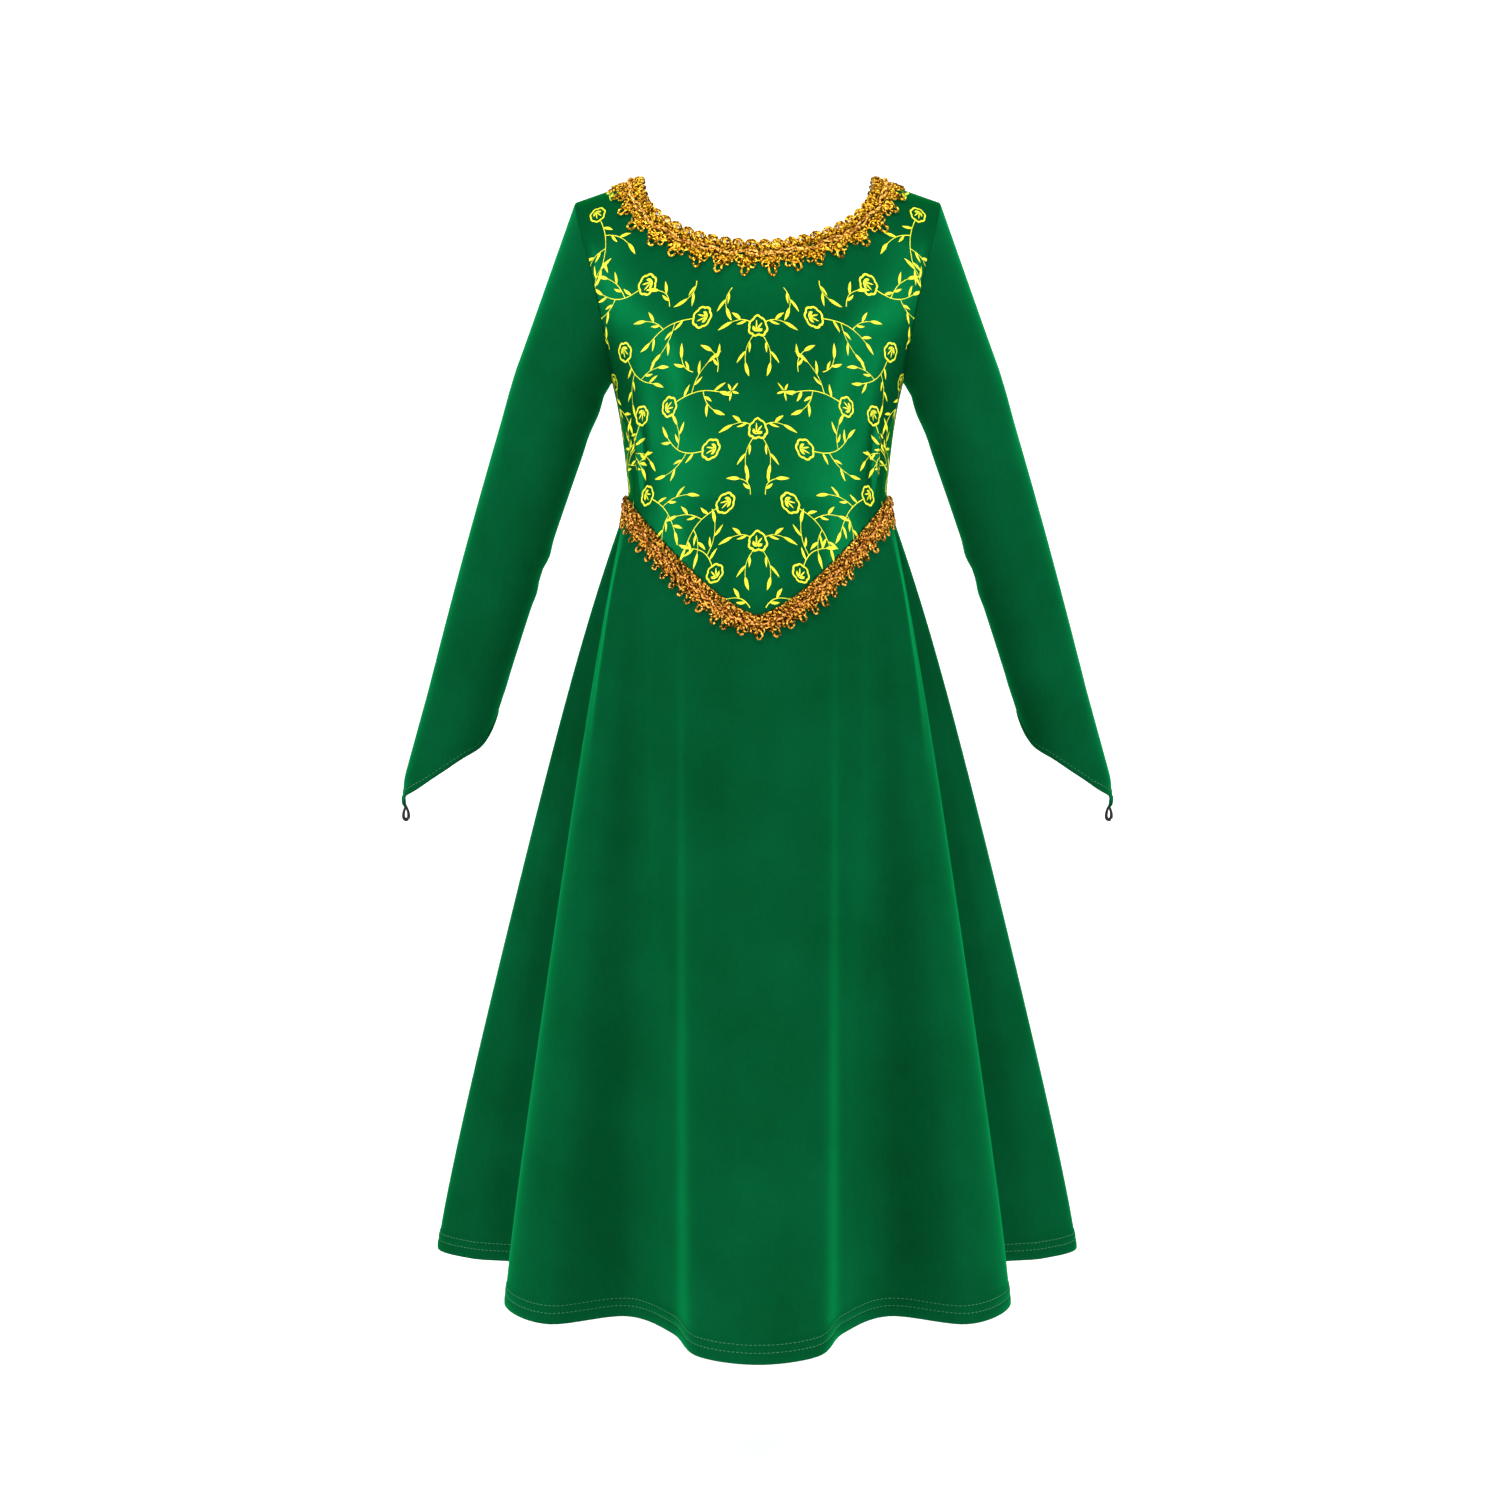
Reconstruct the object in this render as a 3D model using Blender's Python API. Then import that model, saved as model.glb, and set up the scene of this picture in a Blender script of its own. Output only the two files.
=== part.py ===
# A girl's long-sleeved costume gown, hollow as it is when worn: printed bodice with a V waist,
# flared skirt, set-in sleeves with pointed cuffs, lace on the neck and the waist seam.
# Metres, +Z up, the front faces -Y. The origin is the middle of the shoulder line.
import math
from bisect import bisect_right
from collections import namedtuple

import bmesh
import bpy
from mathutils import Vector
from mathutils.bvhtree import BVHTree

# Cloth and clearances
CLOTH = 0.0015  # wall of every cut piece
SEAM_GAP = 0.0003  # between two pieces that are sewn together
HEM_TURN = 0.0155  # turned hem of the skirt
CUFF_TURN = 0.007  # turned hem of the cuff
TURN_PROUD = 0.0005  # how far a turned hem stands out
TURN_STEP = 0.001  # over which it does so

# Heights
SHOULDER_Z = -0.017  # shoulder point, where the sleeve starts
ARMPIT_Z = -0.154
WAIST_Z = -0.237  # narrowest level of the body
SIDE_SEAM_Z = -0.248  # waist seam at the side and all along the back
V_POINT_Z = -0.3315  # waist seam at the centre front
HEM_Z = -0.860

# Neck and shoulder
NECK_HALF_WIDTH = 0.0905
NECK_DROP_FRONT = 0.0505
NECK_DROP_BACK = 0.062
SHOULDER_HALF = 0.140  # centre to shoulder point
CREST_RADIUS = 0.045  # rounding of the cloth over the shoulder
ARMPIT_HALF = 0.1128
ARMHOLE_BEND = 1.55  # 1 is a straight armhole, more scoops it inwards

# Waist seam and the flare under it
V_POWER = 1.5  # 1 is a V with straight arms and a sharp point, 2 is a round U
FLARE_POWER = 1.15  # above 1 the skirt leaves the waist faster than it reaches the hem
FLARE_START_SIDE = 0.012  # share of the skirt's length over which the flare sets in
FLARE_START_FRONT = 0.075
HIP_FULLNESS = 0.29  # how far the side gathers hold the skirt out below the waist

# Sleeve, in the XZ plane of its axis
SLEEVE_TILT = math.radians(17.6)
SLEEVE_TOP_INNER = Vector((0.1193, 0, -0.1646))
SLEEVE_TOP_WIDTH = 0.0705
SLEEVE_TOP_DEPTH = 0.073
CUFF_WIDTH = 0.0575
CUFF_DEPTH = 0.057
CUFF_AT = 0.262  # from the sleeve's top section to where CUFF_WIDTH is taken
SLEEVE_BOW = 0.0015
POINT_CURL = 0.006  # how far the cuff's point turns in towards the hand
POINT_CURL_FROM = 0.328

# Lace and loops
LACE_LIFT = 0.0010
LACE_OVERHANG = 0.002  # the lace's top cord stands past the cloth's edge
LACE_THICK = 0.0018
NECK_LACE_WIDTH = 0.0265
NECK_FAN = 0.017
WAIST_LACE_WIDTH = 0.0215
WAIST_LACE_ABOVE = 0.0090  # how much of it lies above the seam
WAIST_FAN = 0.0135
LACE_ROWS = (0, 0.4, 0.75, 1)  # shares of the lace's width, from its top cord to its fans
LACE_STRIDE = 0.004  # the lace follows the cloth in strides of about this length
WAIST_LACE_END = 89  # degrees from the centre front, just short of the side seam
LOOP_CORD = 0.0011
LOOP_WIDTH = 0.0052
LOOP_HEIGHT = 0.0105
LOOP_NECK = 0.35  # width of the loop at its top, as a share of its greatest width
LOOP_INSET = 0.001  # from the cuff's tip to the loop
LOOP_SIDES = 6
LOOP_STEPS = 16

# Net of the cloth, in faces. The bodice's side edge is its shoulder, armhole and side seam.
COLUMNS = 17
SHOULDER_ROWS = 3
ARMHOLE_ROWS = 9
SIDE_ROWS = 3
BODICE_ROWS = SHOULDER_ROWS + ARMHOLE_ROWS + SIDE_ROWS
SKIRT_ROWS = 10
CAP_ROWS = 5
SLEEVE_ROWS = 7
WELD = 0.00005
BEND_FADE = 3  # how fast the net's lines lose the shape of the neck and the waist seam
HEM_SAMPLES = 24  # points of the hem's curve from one fold to the next
NECK_SAMPLES = 60
SETTLE_STEPS = 30  # rounds in which a place on the sloping shoulder finds its height

Level = namedtuple("Level", "z side front back")
BODY_LEVELS = (
    Level(0.040, 0.150, 0.064, 0.060),
    Level(0.000, 0.150, 0.068, 0.064),
    Level(-0.050, 0.150, 0.078, 0.072),
    Level(-0.080, 0.1475, 0.084, 0.077),
    Level(-0.105, 0.138, 0.087, 0.079),
    Level(-0.130, 0.1222, 0.088, 0.079),
    Level(ARMPIT_Z, ARMPIT_HALF, 0.088, 0.077),
    Level(-0.190, 0.1058, 0.085, 0.073),
    Level(WAIST_Z, 0.1005, 0.080, 0.069),
)

# The skirt's folds, from the centre front round to the centre back: each row is a line down the
# cloth, given by its angle round the waist and by its place at the hem.
Fold = namedtuple("Fold", "name angle x y")
FOLDS = (
    Fold("centre front", 0, 0.000, -0.2345),
    Fold("centre lobe side", 29, 0.045, -0.217),
    Fold("centre lobe flank", 39, 0.0645, -0.170),
    Fold("front valley", 52, 0.100, -0.1335),
    Fold("side lobe", 68, 0.160, -0.1505),
    Fold("overlapping edge", 81, 0.1950, -0.112),
    Fold("overlap return", 87, 0.1885, -0.050),
    Fold("side seam", 90, 0.190, -0.012),
    Fold("wing face", 95, 0.232, 0.000),
    Fold("wing edge", 100, 0.2625, 0.026),
    Fold("wing back", 107, 0.243, 0.078),
    Fold("back side valley", 117, 0.208, 0.106),
    Fold("back side lobe", 131, 0.172, 0.158),
    Fold("back valley", 146, 0.110, 0.152),
    Fold("back lobe flank", 157, 0.064, 0.184),
    Fold("centre back", 180, 0.000, 0.212),
)
SIDE_SEAM_ROW = 7

# The cuff's edge: how far down the sleeve it lies, from the inner side (180) to the point (0).
CuffPoint = namedtuple("CuffPoint", "angle reach")
CUFF_EDGE = (
    CuffPoint(0, 0.3545),
    CuffPoint(10, 0.3500),
    CuffPoint(30, 0.3450),
    CuffPoint(60, 0.3350),
    CuffPoint(90, 0.3180),
    CuffPoint(120, 0.3010),
    CuffPoint(160, 0.2850),
    CuffPoint(180, 0.2670),
)

PANELS = ("bodice_front", "bodice_back", "skirt_front", "skirt_back", "sleeve_left", "sleeve_right")


# Curves through tables
def hermite(knots, values, at):
    """A smooth curve through values, one for each knot. Values are numbers or vectors."""
    last = len(knots) - 1
    at = min(max(at, knots[0]), knots[-1])
    i = min(max(bisect_right(knots, at) - 1, 0), last - 1)

    def slope(k):
        low, high = max(k - 1, 0), min(k + 1, last)
        return (values[high] - values[low]) / (knots[high] - knots[low])

    span = knots[i + 1] - knots[i]
    t = (at - knots[i]) / span
    start = values[i] * (2 * t**3 - 3 * t**2 + 1) + slope(i) * span * (t**3 - 2 * t**2 + t)
    return start + values[i + 1] * (3 * t**2 - 2 * t**3) + slope(i + 1) * span * (t**3 - t**2)


def column_of(table, name, sign=1):
    return [sign * getattr(row, name) for row in table]


LEVEL_KNOTS = column_of(BODY_LEVELS, "z", -1)


def level(z, name):
    return hermite(LEVEL_KNOTS, column_of(BODY_LEVELS, name), -z)


# The hem's plan, with its mirror points at both ends so that it crosses the centre lines squarely
def hem_curve():
    rows = [Vector((f.angle, f.x, f.y)) for f in FOLDS]
    before, after = rows[1].copy(), rows[-2].copy()
    before.x, before.y = -before.x, -before.y
    after.x, after.y = 360 - after.x, -after.y
    points = [before, *rows, after]
    knots = [0.0]
    for a, b in zip(points, points[1:]):
        knots.append(knots[-1] + (b.yz - a.yz).length ** 0.5)
    dense = []
    for k in range(1, len(points) - 2):
        for step in range(HEM_SAMPLES):
            at = knots[k] + (knots[k + 1] - knots[k]) * step / HEM_SAMPLES
            dense.append(hermite(knots, points, at))
    dense.append(rows[-1])
    return dense


HEM = hem_curve()
HEM_ANGLES = [p.x for p in HEM]
HEM_SEAM = HEM_SAMPLES * SIDE_SEAM_ROW


def hem_at(angle):
    i = min(max(bisect_right(HEM_ANGLES, angle) - 1, 0), len(HEM) - 2)
    a, b = HEM[i], HEM[i + 1]
    share = (angle - a.x) / (b.x - a.x)
    return a.y + (b.y - a.y) * share, a.z + (b.z - a.z) * share


# The body under the cloth: angle in degrees from the centre front (0) to the centre back (180)
def shoulder_line(x):
    slope = SHOULDER_Z / (SHOULDER_HALF - NECK_HALF_WIDTH)
    return slope * (x - NECK_HALF_WIDTH)


def crest(drop):
    """0 on the shoulder line, where front and back meet, and 1 below the rounding."""
    if drop < WELD / 100:
        return 0
    rise = max(1 - drop / CREST_RADIUS, 0)
    return math.sqrt(1 - rise**2)


def ring_point(angle, z):
    turn = math.radians(angle)
    depth = level(z, "front" if angle <= 90 else "back")
    return Vector((level(z, "side") * math.sin(turn), -depth * math.cos(turn), z))


def bodice_point(angle, z):
    point = ring_point(angle, z)
    point.y *= crest(shoulder_line(point.x) - z)
    return point


def flare(angle, z):
    start = FLARE_START_SIDE
    start += (FLARE_START_FRONT - FLARE_START_SIDE) * math.cos(math.radians(angle)) ** 2

    def eased(t):
        return t - start * (1 - math.exp(-t / start))

    share = (WAIST_Z - z) / (WAIST_Z - HEM_Z)
    hip = HIP_FULLNESS * math.sin(math.radians(angle)) ** 4 * share**0.8 * (1 - share) ** 3.2
    return 1 - (1 - eased(share) / eased(1)) ** FLARE_POWER + hip


def gown_point(angle, z):
    if z >= WAIST_Z:
        return bodice_point(angle, z)
    waist = ring_point(angle, WAIST_Z)
    x, y = hem_at(angle)
    return waist.lerp(Vector((x, y, WAIST_Z)), flare(angle, z)) + Vector((0, 0, z - WAIST_Z))


def waist_seam(angle):
    if angle > 90:
        return SIDE_SEAM_Z
    return V_POINT_Z + (SIDE_SEAM_Z - V_POINT_Z) * math.sin(math.radians(angle)) ** V_POWER


# The edges of the bodice, as (angle, z) on the body
def angle_at(x, z, back):
    angle = math.degrees(math.asin(min(x / level(z, "side"), 1)))
    return 180 - angle if back else angle


def neck_edge(turn, back):
    """turn goes from 0 at the centre to 90 on the shoulder line."""
    x = NECK_HALF_WIDTH * math.sin(math.radians(turn))
    z = -(NECK_DROP_BACK if back else NECK_DROP_FRONT) * math.cos(math.radians(turn))
    return angle_at(x, z, back), z


def shoulder_edge(share, back):
    x = NECK_HALF_WIDTH + (SHOULDER_HALF - NECK_HALF_WIDTH) * share
    z = shoulder_line(x)
    return angle_at(x, z, back), z


def armhole_edge(turn, back):
    """turn goes from 0 at the shoulder point to 180 at the armpit."""
    rise = (1 + math.cos(math.radians(turn))) / 2
    z = ARMPIT_Z + (SHOULDER_Z - ARMPIT_Z) * rise
    x = ARMPIT_HALF + (SHOULDER_HALF - ARMPIT_HALF) * rise**ARMHOLE_BEND
    return angle_at(x, z, back), z


# The bodice's chart: angle round the body, and way down the cloth from the shoulder line
def way_down(x, z):
    drop = shoulder_line(x) - z
    if drop >= CREST_RADIUS:
        return CREST_RADIUS * (math.pi / 2 - 1) + drop
    return CREST_RADIUS * math.acos(1 - max(drop, 0) / CREST_RADIUS)


def chart(edge, back):
    angle, z = edge
    return Vector((angle, way_down(ring_point(angle, z).x, z)))


def from_chart(place):
    angle, way = place
    drop = way - CREST_RADIUS * (math.pi / 2 - 1)
    if way < CREST_RADIUS * math.pi / 2:
        drop = CREST_RADIUS * (1 - math.cos(way / CREST_RADIUS))
    z = -drop
    for _ in range(SETTLE_STEPS):
        z = shoulder_line(ring_point(angle, z).x) - drop
    return gown_point(angle, z)


def spread(places, count):
    """count + 1 chart places, evenly spaced along the line through the places."""
    points = [from_chart(p) for p in places]
    run = [0.0]
    for a, b in zip(points, points[1:]):
        run.append(run[-1] + (b - a).length)
    picked = []
    for k in range(count + 1):
        at = run[-1] * k / count
        i = min(bisect_right(run, at) - 1, len(run) - 2)
        picked.append(places[i].lerp(places[i + 1], (at - run[i]) / (run[i + 1] - run[i])))
    return picked


def side_edge(row, back):
    if row <= SHOULDER_ROWS:
        return shoulder_edge(row / SHOULDER_ROWS, back)
    row -= SHOULDER_ROWS
    if row <= ARMHOLE_ROWS:
        return armhole_edge(180 * row / ARMHOLE_ROWS, back)
    share = (row - ARMHOLE_ROWS) / SIDE_ROWS
    return 90, ARMPIT_Z + (SIDE_SEAM_Z - ARMPIT_Z) * share


def seam_angles(back):
    """Angle of each column at the waist seam, evenly spaced along the hem."""
    stretch = HEM[HEM_SEAM:][::-1] if back else HEM[: HEM_SEAM + 1]
    run = [0.0]
    for a, b in zip(stretch, stretch[1:]):
        run.append(run[-1] + (b.yz - a.yz).length)
    angles = [p.x for p in stretch]
    picked = []
    for column in range(COLUMNS + 1):
        at = run[-1] * column / COLUMNS
        i = min(bisect_right(run, at) - 1, len(run) - 2)
        picked.append(angles[i] + (angles[i + 1] - angles[i]) * (at - run[i]) / (run[i + 1] - run[i]))
    return picked


# The sleeve: reach is how far down its axis, turn goes round it from its outer line (0)
ACROSS = Vector((math.cos(SLEEVE_TILT), 0, math.sin(SLEEVE_TILT)))
ALONG = Vector((math.sin(SLEEVE_TILT), 0, -math.cos(SLEEVE_TILT)))


def sleeve_point(reach, turn, side):
    share = reach / CUFF_AT
    width = SLEEVE_TOP_WIDTH + (CUFF_WIDTH - SLEEVE_TOP_WIDTH) * share
    depth = SLEEVE_TOP_DEPTH + (CUFF_DEPTH - SLEEVE_TOP_DEPTH) * share
    middle = SLEEVE_TOP_INNER + ACROSS * (SLEEVE_TOP_WIDTH / 2) + ALONG * reach
    middle += ACROSS * SLEEVE_BOW * math.sin(math.pi * min(share, 1))
    past = max(reach - POINT_CURL_FROM, 0) / (CUFF_EDGE[0].reach - POINT_CURL_FROM)
    middle -= ACROSS * POINT_CURL * past**2
    turn = math.radians(turn)
    y = Vector((0, -side * depth / 2 * math.sin(turn), 0))
    return middle + ACROSS * (width / 2 * math.cos(turn)) + y


def cuff_reach(turn):
    return hermite(column_of(CUFF_EDGE, "angle"), column_of(CUFF_EDGE, "reach"), turn)


def cap_loop(row, turn, side):
    """The rows that swing from the armhole to the sleeve's first straight section."""
    share = row / CAP_ROWS
    shoulder, armpit = gown_point(*armhole_edge(0, False)), gown_point(*armhole_edge(180, False))
    outer = shoulder.lerp(sleeve_point(0, 0, side), share)
    inner = armpit.lerp(sleeve_point(0, 180, side), share)
    edge = gown_point(*armhole_edge(turn, side < 0))

    def oval(top, bottom, depth):
        middle, reach = (top + bottom) / 2, (top - bottom) / 2
        angle = math.radians(turn)
        return middle + reach * math.cos(angle) + Vector((0, -side * depth * math.sin(angle), 0))

    armhole_depth = abs(gown_point(*armhole_edge(90, side < 0)).y)
    left_over = edge - oval(shoulder, armpit, armhole_depth)
    depth = armhole_depth + (SLEEVE_TOP_DEPTH / 2 - armhole_depth) * share
    return oval(outer, inner, depth) + left_over * (1 - share) ** 2


# The net of all the cloth's outer faces, with shared points along the seams
def add_grid(net, panel, rows, proud, flip):
    layer = net.verts.layers.float["proud"]
    grid = []
    for row, stand in zip(rows, proud):
        line = []
        for point in row:
            vert = net.verts.new(point)
            vert[layer] = stand
            line.append(vert)
        grid.append(line)
    for upper, lower in zip(grid, grid[1:]):
        for a, b, c, d in zip(upper, upper[1:], lower[1:], lower):
            face = net.faces.new((a, b, c, d) if flip else (d, c, b, a))
            face.material_index = panel


def mirrored(rows):
    return [[Vector((-p.x, p.y, p.z)) for p in row] for row in rows]


def bodice_rows(back):
    """A net of lines from the centre to the side edge, bent to follow the neck and the waist seam."""
    turns = [90 * k / NECK_SAMPLES for k in range(NECK_SAMPLES + 1)]
    neck = spread([chart(neck_edge(turn, back), back) for turn in turns], COLUMNS)
    waist = [chart((angle, waist_seam(angle)), back) for angle in seam_angles(back)]
    rows = []
    for row in range(BODICE_ROWS + 1):
        down = row / BODICE_ROWS
        side = chart(side_edge(row, back), back)
        middle = neck[0].lerp(waist[0], down)
        line = []
        for column in range(COLUMNS + 1):
            out = column / COLUMNS
            neck_bend = neck[column] - neck[0].lerp(neck[-1], out)
            waist_bend = waist[column] - waist[0].lerp(waist[-1], out)
            place = middle.lerp(side, out) + neck_bend * (1 - down) ** BEND_FADE
            line.append(from_chart(place + waist_bend * down**BEND_FADE))
        rows.append(line)
    return rows


def skirt_rows(back):
    fold_line = HEM_Z + HEM_TURN
    rows, proud = [], []
    for step in range(SKIRT_ROWS + 3):
        row = []
        for angle in seam_angles(back):
            top = waist_seam(angle)
            z = top + (fold_line + TURN_STEP - top) * step / SKIRT_ROWS
            if step > SKIRT_ROWS:
                z = fold_line if step == SKIRT_ROWS + 1 else HEM_Z
            row.append(gown_point(angle, z))
        rows.append(row)
        proud.append(TURN_PROUD if step > SKIRT_ROWS else 0)
    return rows, proud


def sleeve_rows(side):
    turns = [180 * k / ARMHOLE_ROWS for k in range(ARMHOLE_ROWS + 1)]
    rows = [[cap_loop(row, turn, side) for turn in turns] for row in range(CAP_ROWS)]
    proud = [0] * CAP_ROWS
    for step in range(SLEEVE_ROWS + 1):
        ends = [cuff_reach(turn) - CUFF_TURN - TURN_STEP for turn in turns]
        rows.append([sleeve_point(e * step / SLEEVE_ROWS, t, side) for e, t in zip(ends, turns)])
        proud.append(0)
    for back_from_edge in (CUFF_TURN, 0):
        rows.append([sleeve_point(cuff_reach(turn) - back_from_edge, turn, side) for turn in turns])
        proud.append(TURN_PROUD)
    return rows, proud


def cloth_net():
    net = bmesh.new()
    net.verts.layers.float.new("proud")
    for back in (False, True):
        bodice = bodice_rows(back)
        skirt, skirt_proud = skirt_rows(back)
        flat = [0] * len(bodice)
        for rows, flip in ((bodice, back), (mirrored(bodice), not back)):
            add_grid(net, PANELS.index("bodice_back" if back else "bodice_front"), rows, flat, flip)
        for rows, flip in ((skirt, back), (mirrored(skirt), not back)):
            add_grid(net, PANELS.index("skirt_back" if back else "skirt_front"), rows, skirt_proud, flip)
        sleeve, sleeve_proud = sleeve_rows(-1 if back else 1)
        add_grid(net, PANELS.index("sleeve_left"), sleeve, sleeve_proud, not back)
        add_grid(net, PANELS.index("sleeve_right"), mirrored(sleeve), sleeve_proud, back)
    bmesh.ops.remove_doubles(net, verts=net.verts, dist=WELD)
    net.normal_update()
    return net


# Solids
def finish_object(name, points, faces, material):
    mesh = bpy.data.meshes.new(name)
    mesh.from_pydata([tuple(p) for p in points], [], faces)
    mesh.validate()
    mesh.materials.append(material)
    mesh.shade_smooth()
    mesh.set_sharp_from_angle(angle=math.radians(50))
    obj = bpy.data.objects.new(name, mesh)
    bpy.context.scene.collection.objects.link(obj)
    return obj


def seam_pull(faces):
    """How far each point of a panel draws back from the seams that it lies on."""
    own, sums, counts = set(faces), {}, {}
    for face in faces:
        middle = face.calc_center_median()
        for edge in face.edges:
            if len(edge.link_faces) != 2 or all(f in own for f in edge.link_faces):
                continue
            run = (edge.verts[1].co - edge.verts[0].co).normalized()
            inward = middle - edge.verts[0].co
            inward = (inward - run * inward.dot(run)).normalized()
            for vert in edge.verts:
                sums[vert] = sums.get(vert, Vector()) + inward
                counts[vert] = counts.get(vert, 0) + 1
    return {v: s * (SEAM_GAP / 2 * counts[v] / s.length_squared) for v, s in sums.items()}


def make_panel(net, number, material):
    faces = [f for f in net.faces if f.material_index == number]
    pull = seam_pull(faces)
    layer = net.verts.layers.float["proud"]
    index, outer, inner = {}, [], []
    for face in faces:
        for vert in face.verts:
            if vert not in index:
                index[vert] = len(index)
                base = vert.co + pull.get(vert, Vector())
                outer.append(base + vert.normal * vert[layer])
                inner.append(base - vert.normal * CLOTH)
    count = len(outer)
    made, own = [], set(faces)
    for face in faces:
        loop = [index[v] for v in face.verts]
        made.append(loop)
        made.append([k + count for k in reversed(loop)])
        for corner in face.loops:
            if sum(f in own for f in corner.edge.link_faces) == 1:
                a, b = index[corner.vert], index[corner.link_loop_next.vert]
                made.append([b, a, a + count, b + count])
    return finish_object(PANELS[number], outer + inner, made, material)


# Lace: a strip that lies on the cloth, its free edge cut in fans
FanColumn = namedtuple("FanColumn", "name depth")
FAN = (FanColumn("notch", 0.80), FanColumn("left drop", 1), FanColumn("right drop", 1))


def resample(path, closed, pitch):
    """Points along the path, len(FAN) to each fan, and how deep the lace is at each."""
    line = path + [path[0]] if closed else path
    run = [0.0]
    for a, b in zip(line, line[1:]):
        run.append(run[-1] + (b - a).length)
    fans = round(run[-1] / pitch)
    count = fans * len(FAN) + (0 if closed else 1)
    picked = []
    for k in range(count):
        at = run[-1] * k / (fans * len(FAN))
        i = min(bisect_right(run, at) - 1, len(run) - 2)
        picked.append(line[i].lerp(line[i + 1], (at - run[i]) / (run[i + 1] - run[i])))
    return picked, [FAN[k % len(FAN)].depth for k in range(count)]


def lace_strip(name, tree, path, closed, pitch, start, width, material):
    """start is where its top cord lies: below 0 is above the path, past the cloth's edge if that is
    what the path follows."""
    points, depths = resample(path, closed, pitch)
    count = len(points)
    front, rear = [], []
    for k, (point, depth) in enumerate(zip(points, depths)):
        before = points[k - 1] if closed or k else point
        after = points[(k + 1) % count] if closed or k < count - 1 else point
        place, normal, _, _ = tree.find_nearest(point)
        across = (after - before).cross(normal).normalized()
        place = place + across * start
        if not closed:
            place, normal, _, _ = tree.find_nearest(place)
        reached = start
        for share in LACE_ROWS:
            target = start + width * share * (depth if share == 1 else 1)
            steps = math.ceil((target - reached) / LACE_STRIDE)
            for _ in range(steps):
                place, normal, _, _ = tree.find_nearest(place + across * (target - reached) / steps)
                across = (across - normal * across.dot(normal)).normalized()
            reached = target
            rear.append(place + normal * LACE_LIFT)
            front.append(place + normal * (LACE_LIFT + LACE_THICK))
    rows = len(LACE_ROWS)
    total = len(front)
    faces = []
    for k in range(count if closed else count - 1):
        here, there = k * rows, (k + 1) % count * rows
        for r in range(rows - 1):
            quad = [here + r, here + r + 1, there + r + 1, there + r]
            faces += [quad, [q + total for q in reversed(quad)]]
        faces.append([here, there, there + total, here + total])
        faces.append([there + rows - 1, here + rows - 1, here + rows - 1 + total, there + rows - 1 + total])
    if not closed:
        for k, flip in ((0, False), (count - 1, True)):
            for r in range(rows - 1):
                a, b = k * rows + r, k * rows + r + 1
                faces.append([a, b, b + total, a + total] if flip else [b, a, a + total, b + total])
    return finish_object(name, front + rear, faces, material)


def neck_path():
    steps = 24
    front = [gown_point(*neck_edge(90 * k / steps, False)) for k in range(steps + 1)]
    back = [gown_point(*neck_edge(90 * k / steps, True)) for k in range(steps + 1)]
    left = [Vector((-p.x, p.y, p.z)) for p in front], [Vector((-p.x, p.y, p.z)) for p in back]
    return front[:-1] + back[:0:-1] + left[1][:-1] + left[0][:0:-1]


def waist_path():
    steps = 30
    angles = [WAIST_LACE_END * k / steps for k in range(steps + 1)]
    half = [gown_point(a, waist_seam(a)) for a in angles]
    return [Vector((-p.x, p.y, p.z)) for p in half[:0:-1]] + half


def finger_loop(name, side, material):
    """A drop of elastic cord that hangs from the cuff's point."""
    tip = sleeve_point(cuff_reach(0), 0, 1)
    top = Vector((tip.x - LOOP_INSET, 0, tip.z - LOOP_CORD / 2 - SEAM_GAP))
    points, faces = [], []
    for k in range(LOOP_STEPS):
        angle = 2 * math.pi * k / LOOP_STEPS
        drop = (1 - math.cos(angle)) / 2
        x = top.x + LOOP_WIDTH / 2 * math.sin(angle) * (LOOP_NECK + (1 - LOOP_NECK) * drop)
        middle = Vector((x, 0, top.z - LOOP_HEIGHT * drop))
        outward = Vector((math.sin(angle), 0, math.cos(angle)))
        for s in range(LOOP_SIDES):
            round_it = 2 * math.pi * s / LOOP_SIDES
            offset = outward * math.cos(round_it) + Vector((0, 1, 0)) * math.sin(round_it)
            p = middle + offset * LOOP_CORD / 2
            points.append(Vector((side * p.x, p.y, p.z)))
    for k in range(LOOP_STEPS):
        here, there = k * LOOP_SIDES, (k + 1) % LOOP_STEPS * LOOP_SIDES
        for s in range(LOOP_SIDES):
            after = (s + 1) % LOOP_SIDES
            quad = [here + s, here + after, there + after, there + s]
            faces.append(quad if side < 0 else quad[::-1])
    return finish_object(name, points, faces, material)


def cloth_material(name, colour, roughness, metallic=0.0):
    material = bpy.data.materials.new(name)
    material.use_nodes = True
    shader = material.node_tree.nodes["Principled BSDF"]
    shader.inputs["Base Color"].default_value = (*colour, 1)
    shader.inputs["Roughness"].default_value = roughness
    shader.inputs["Metallic"].default_value = metallic
    return material


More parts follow.
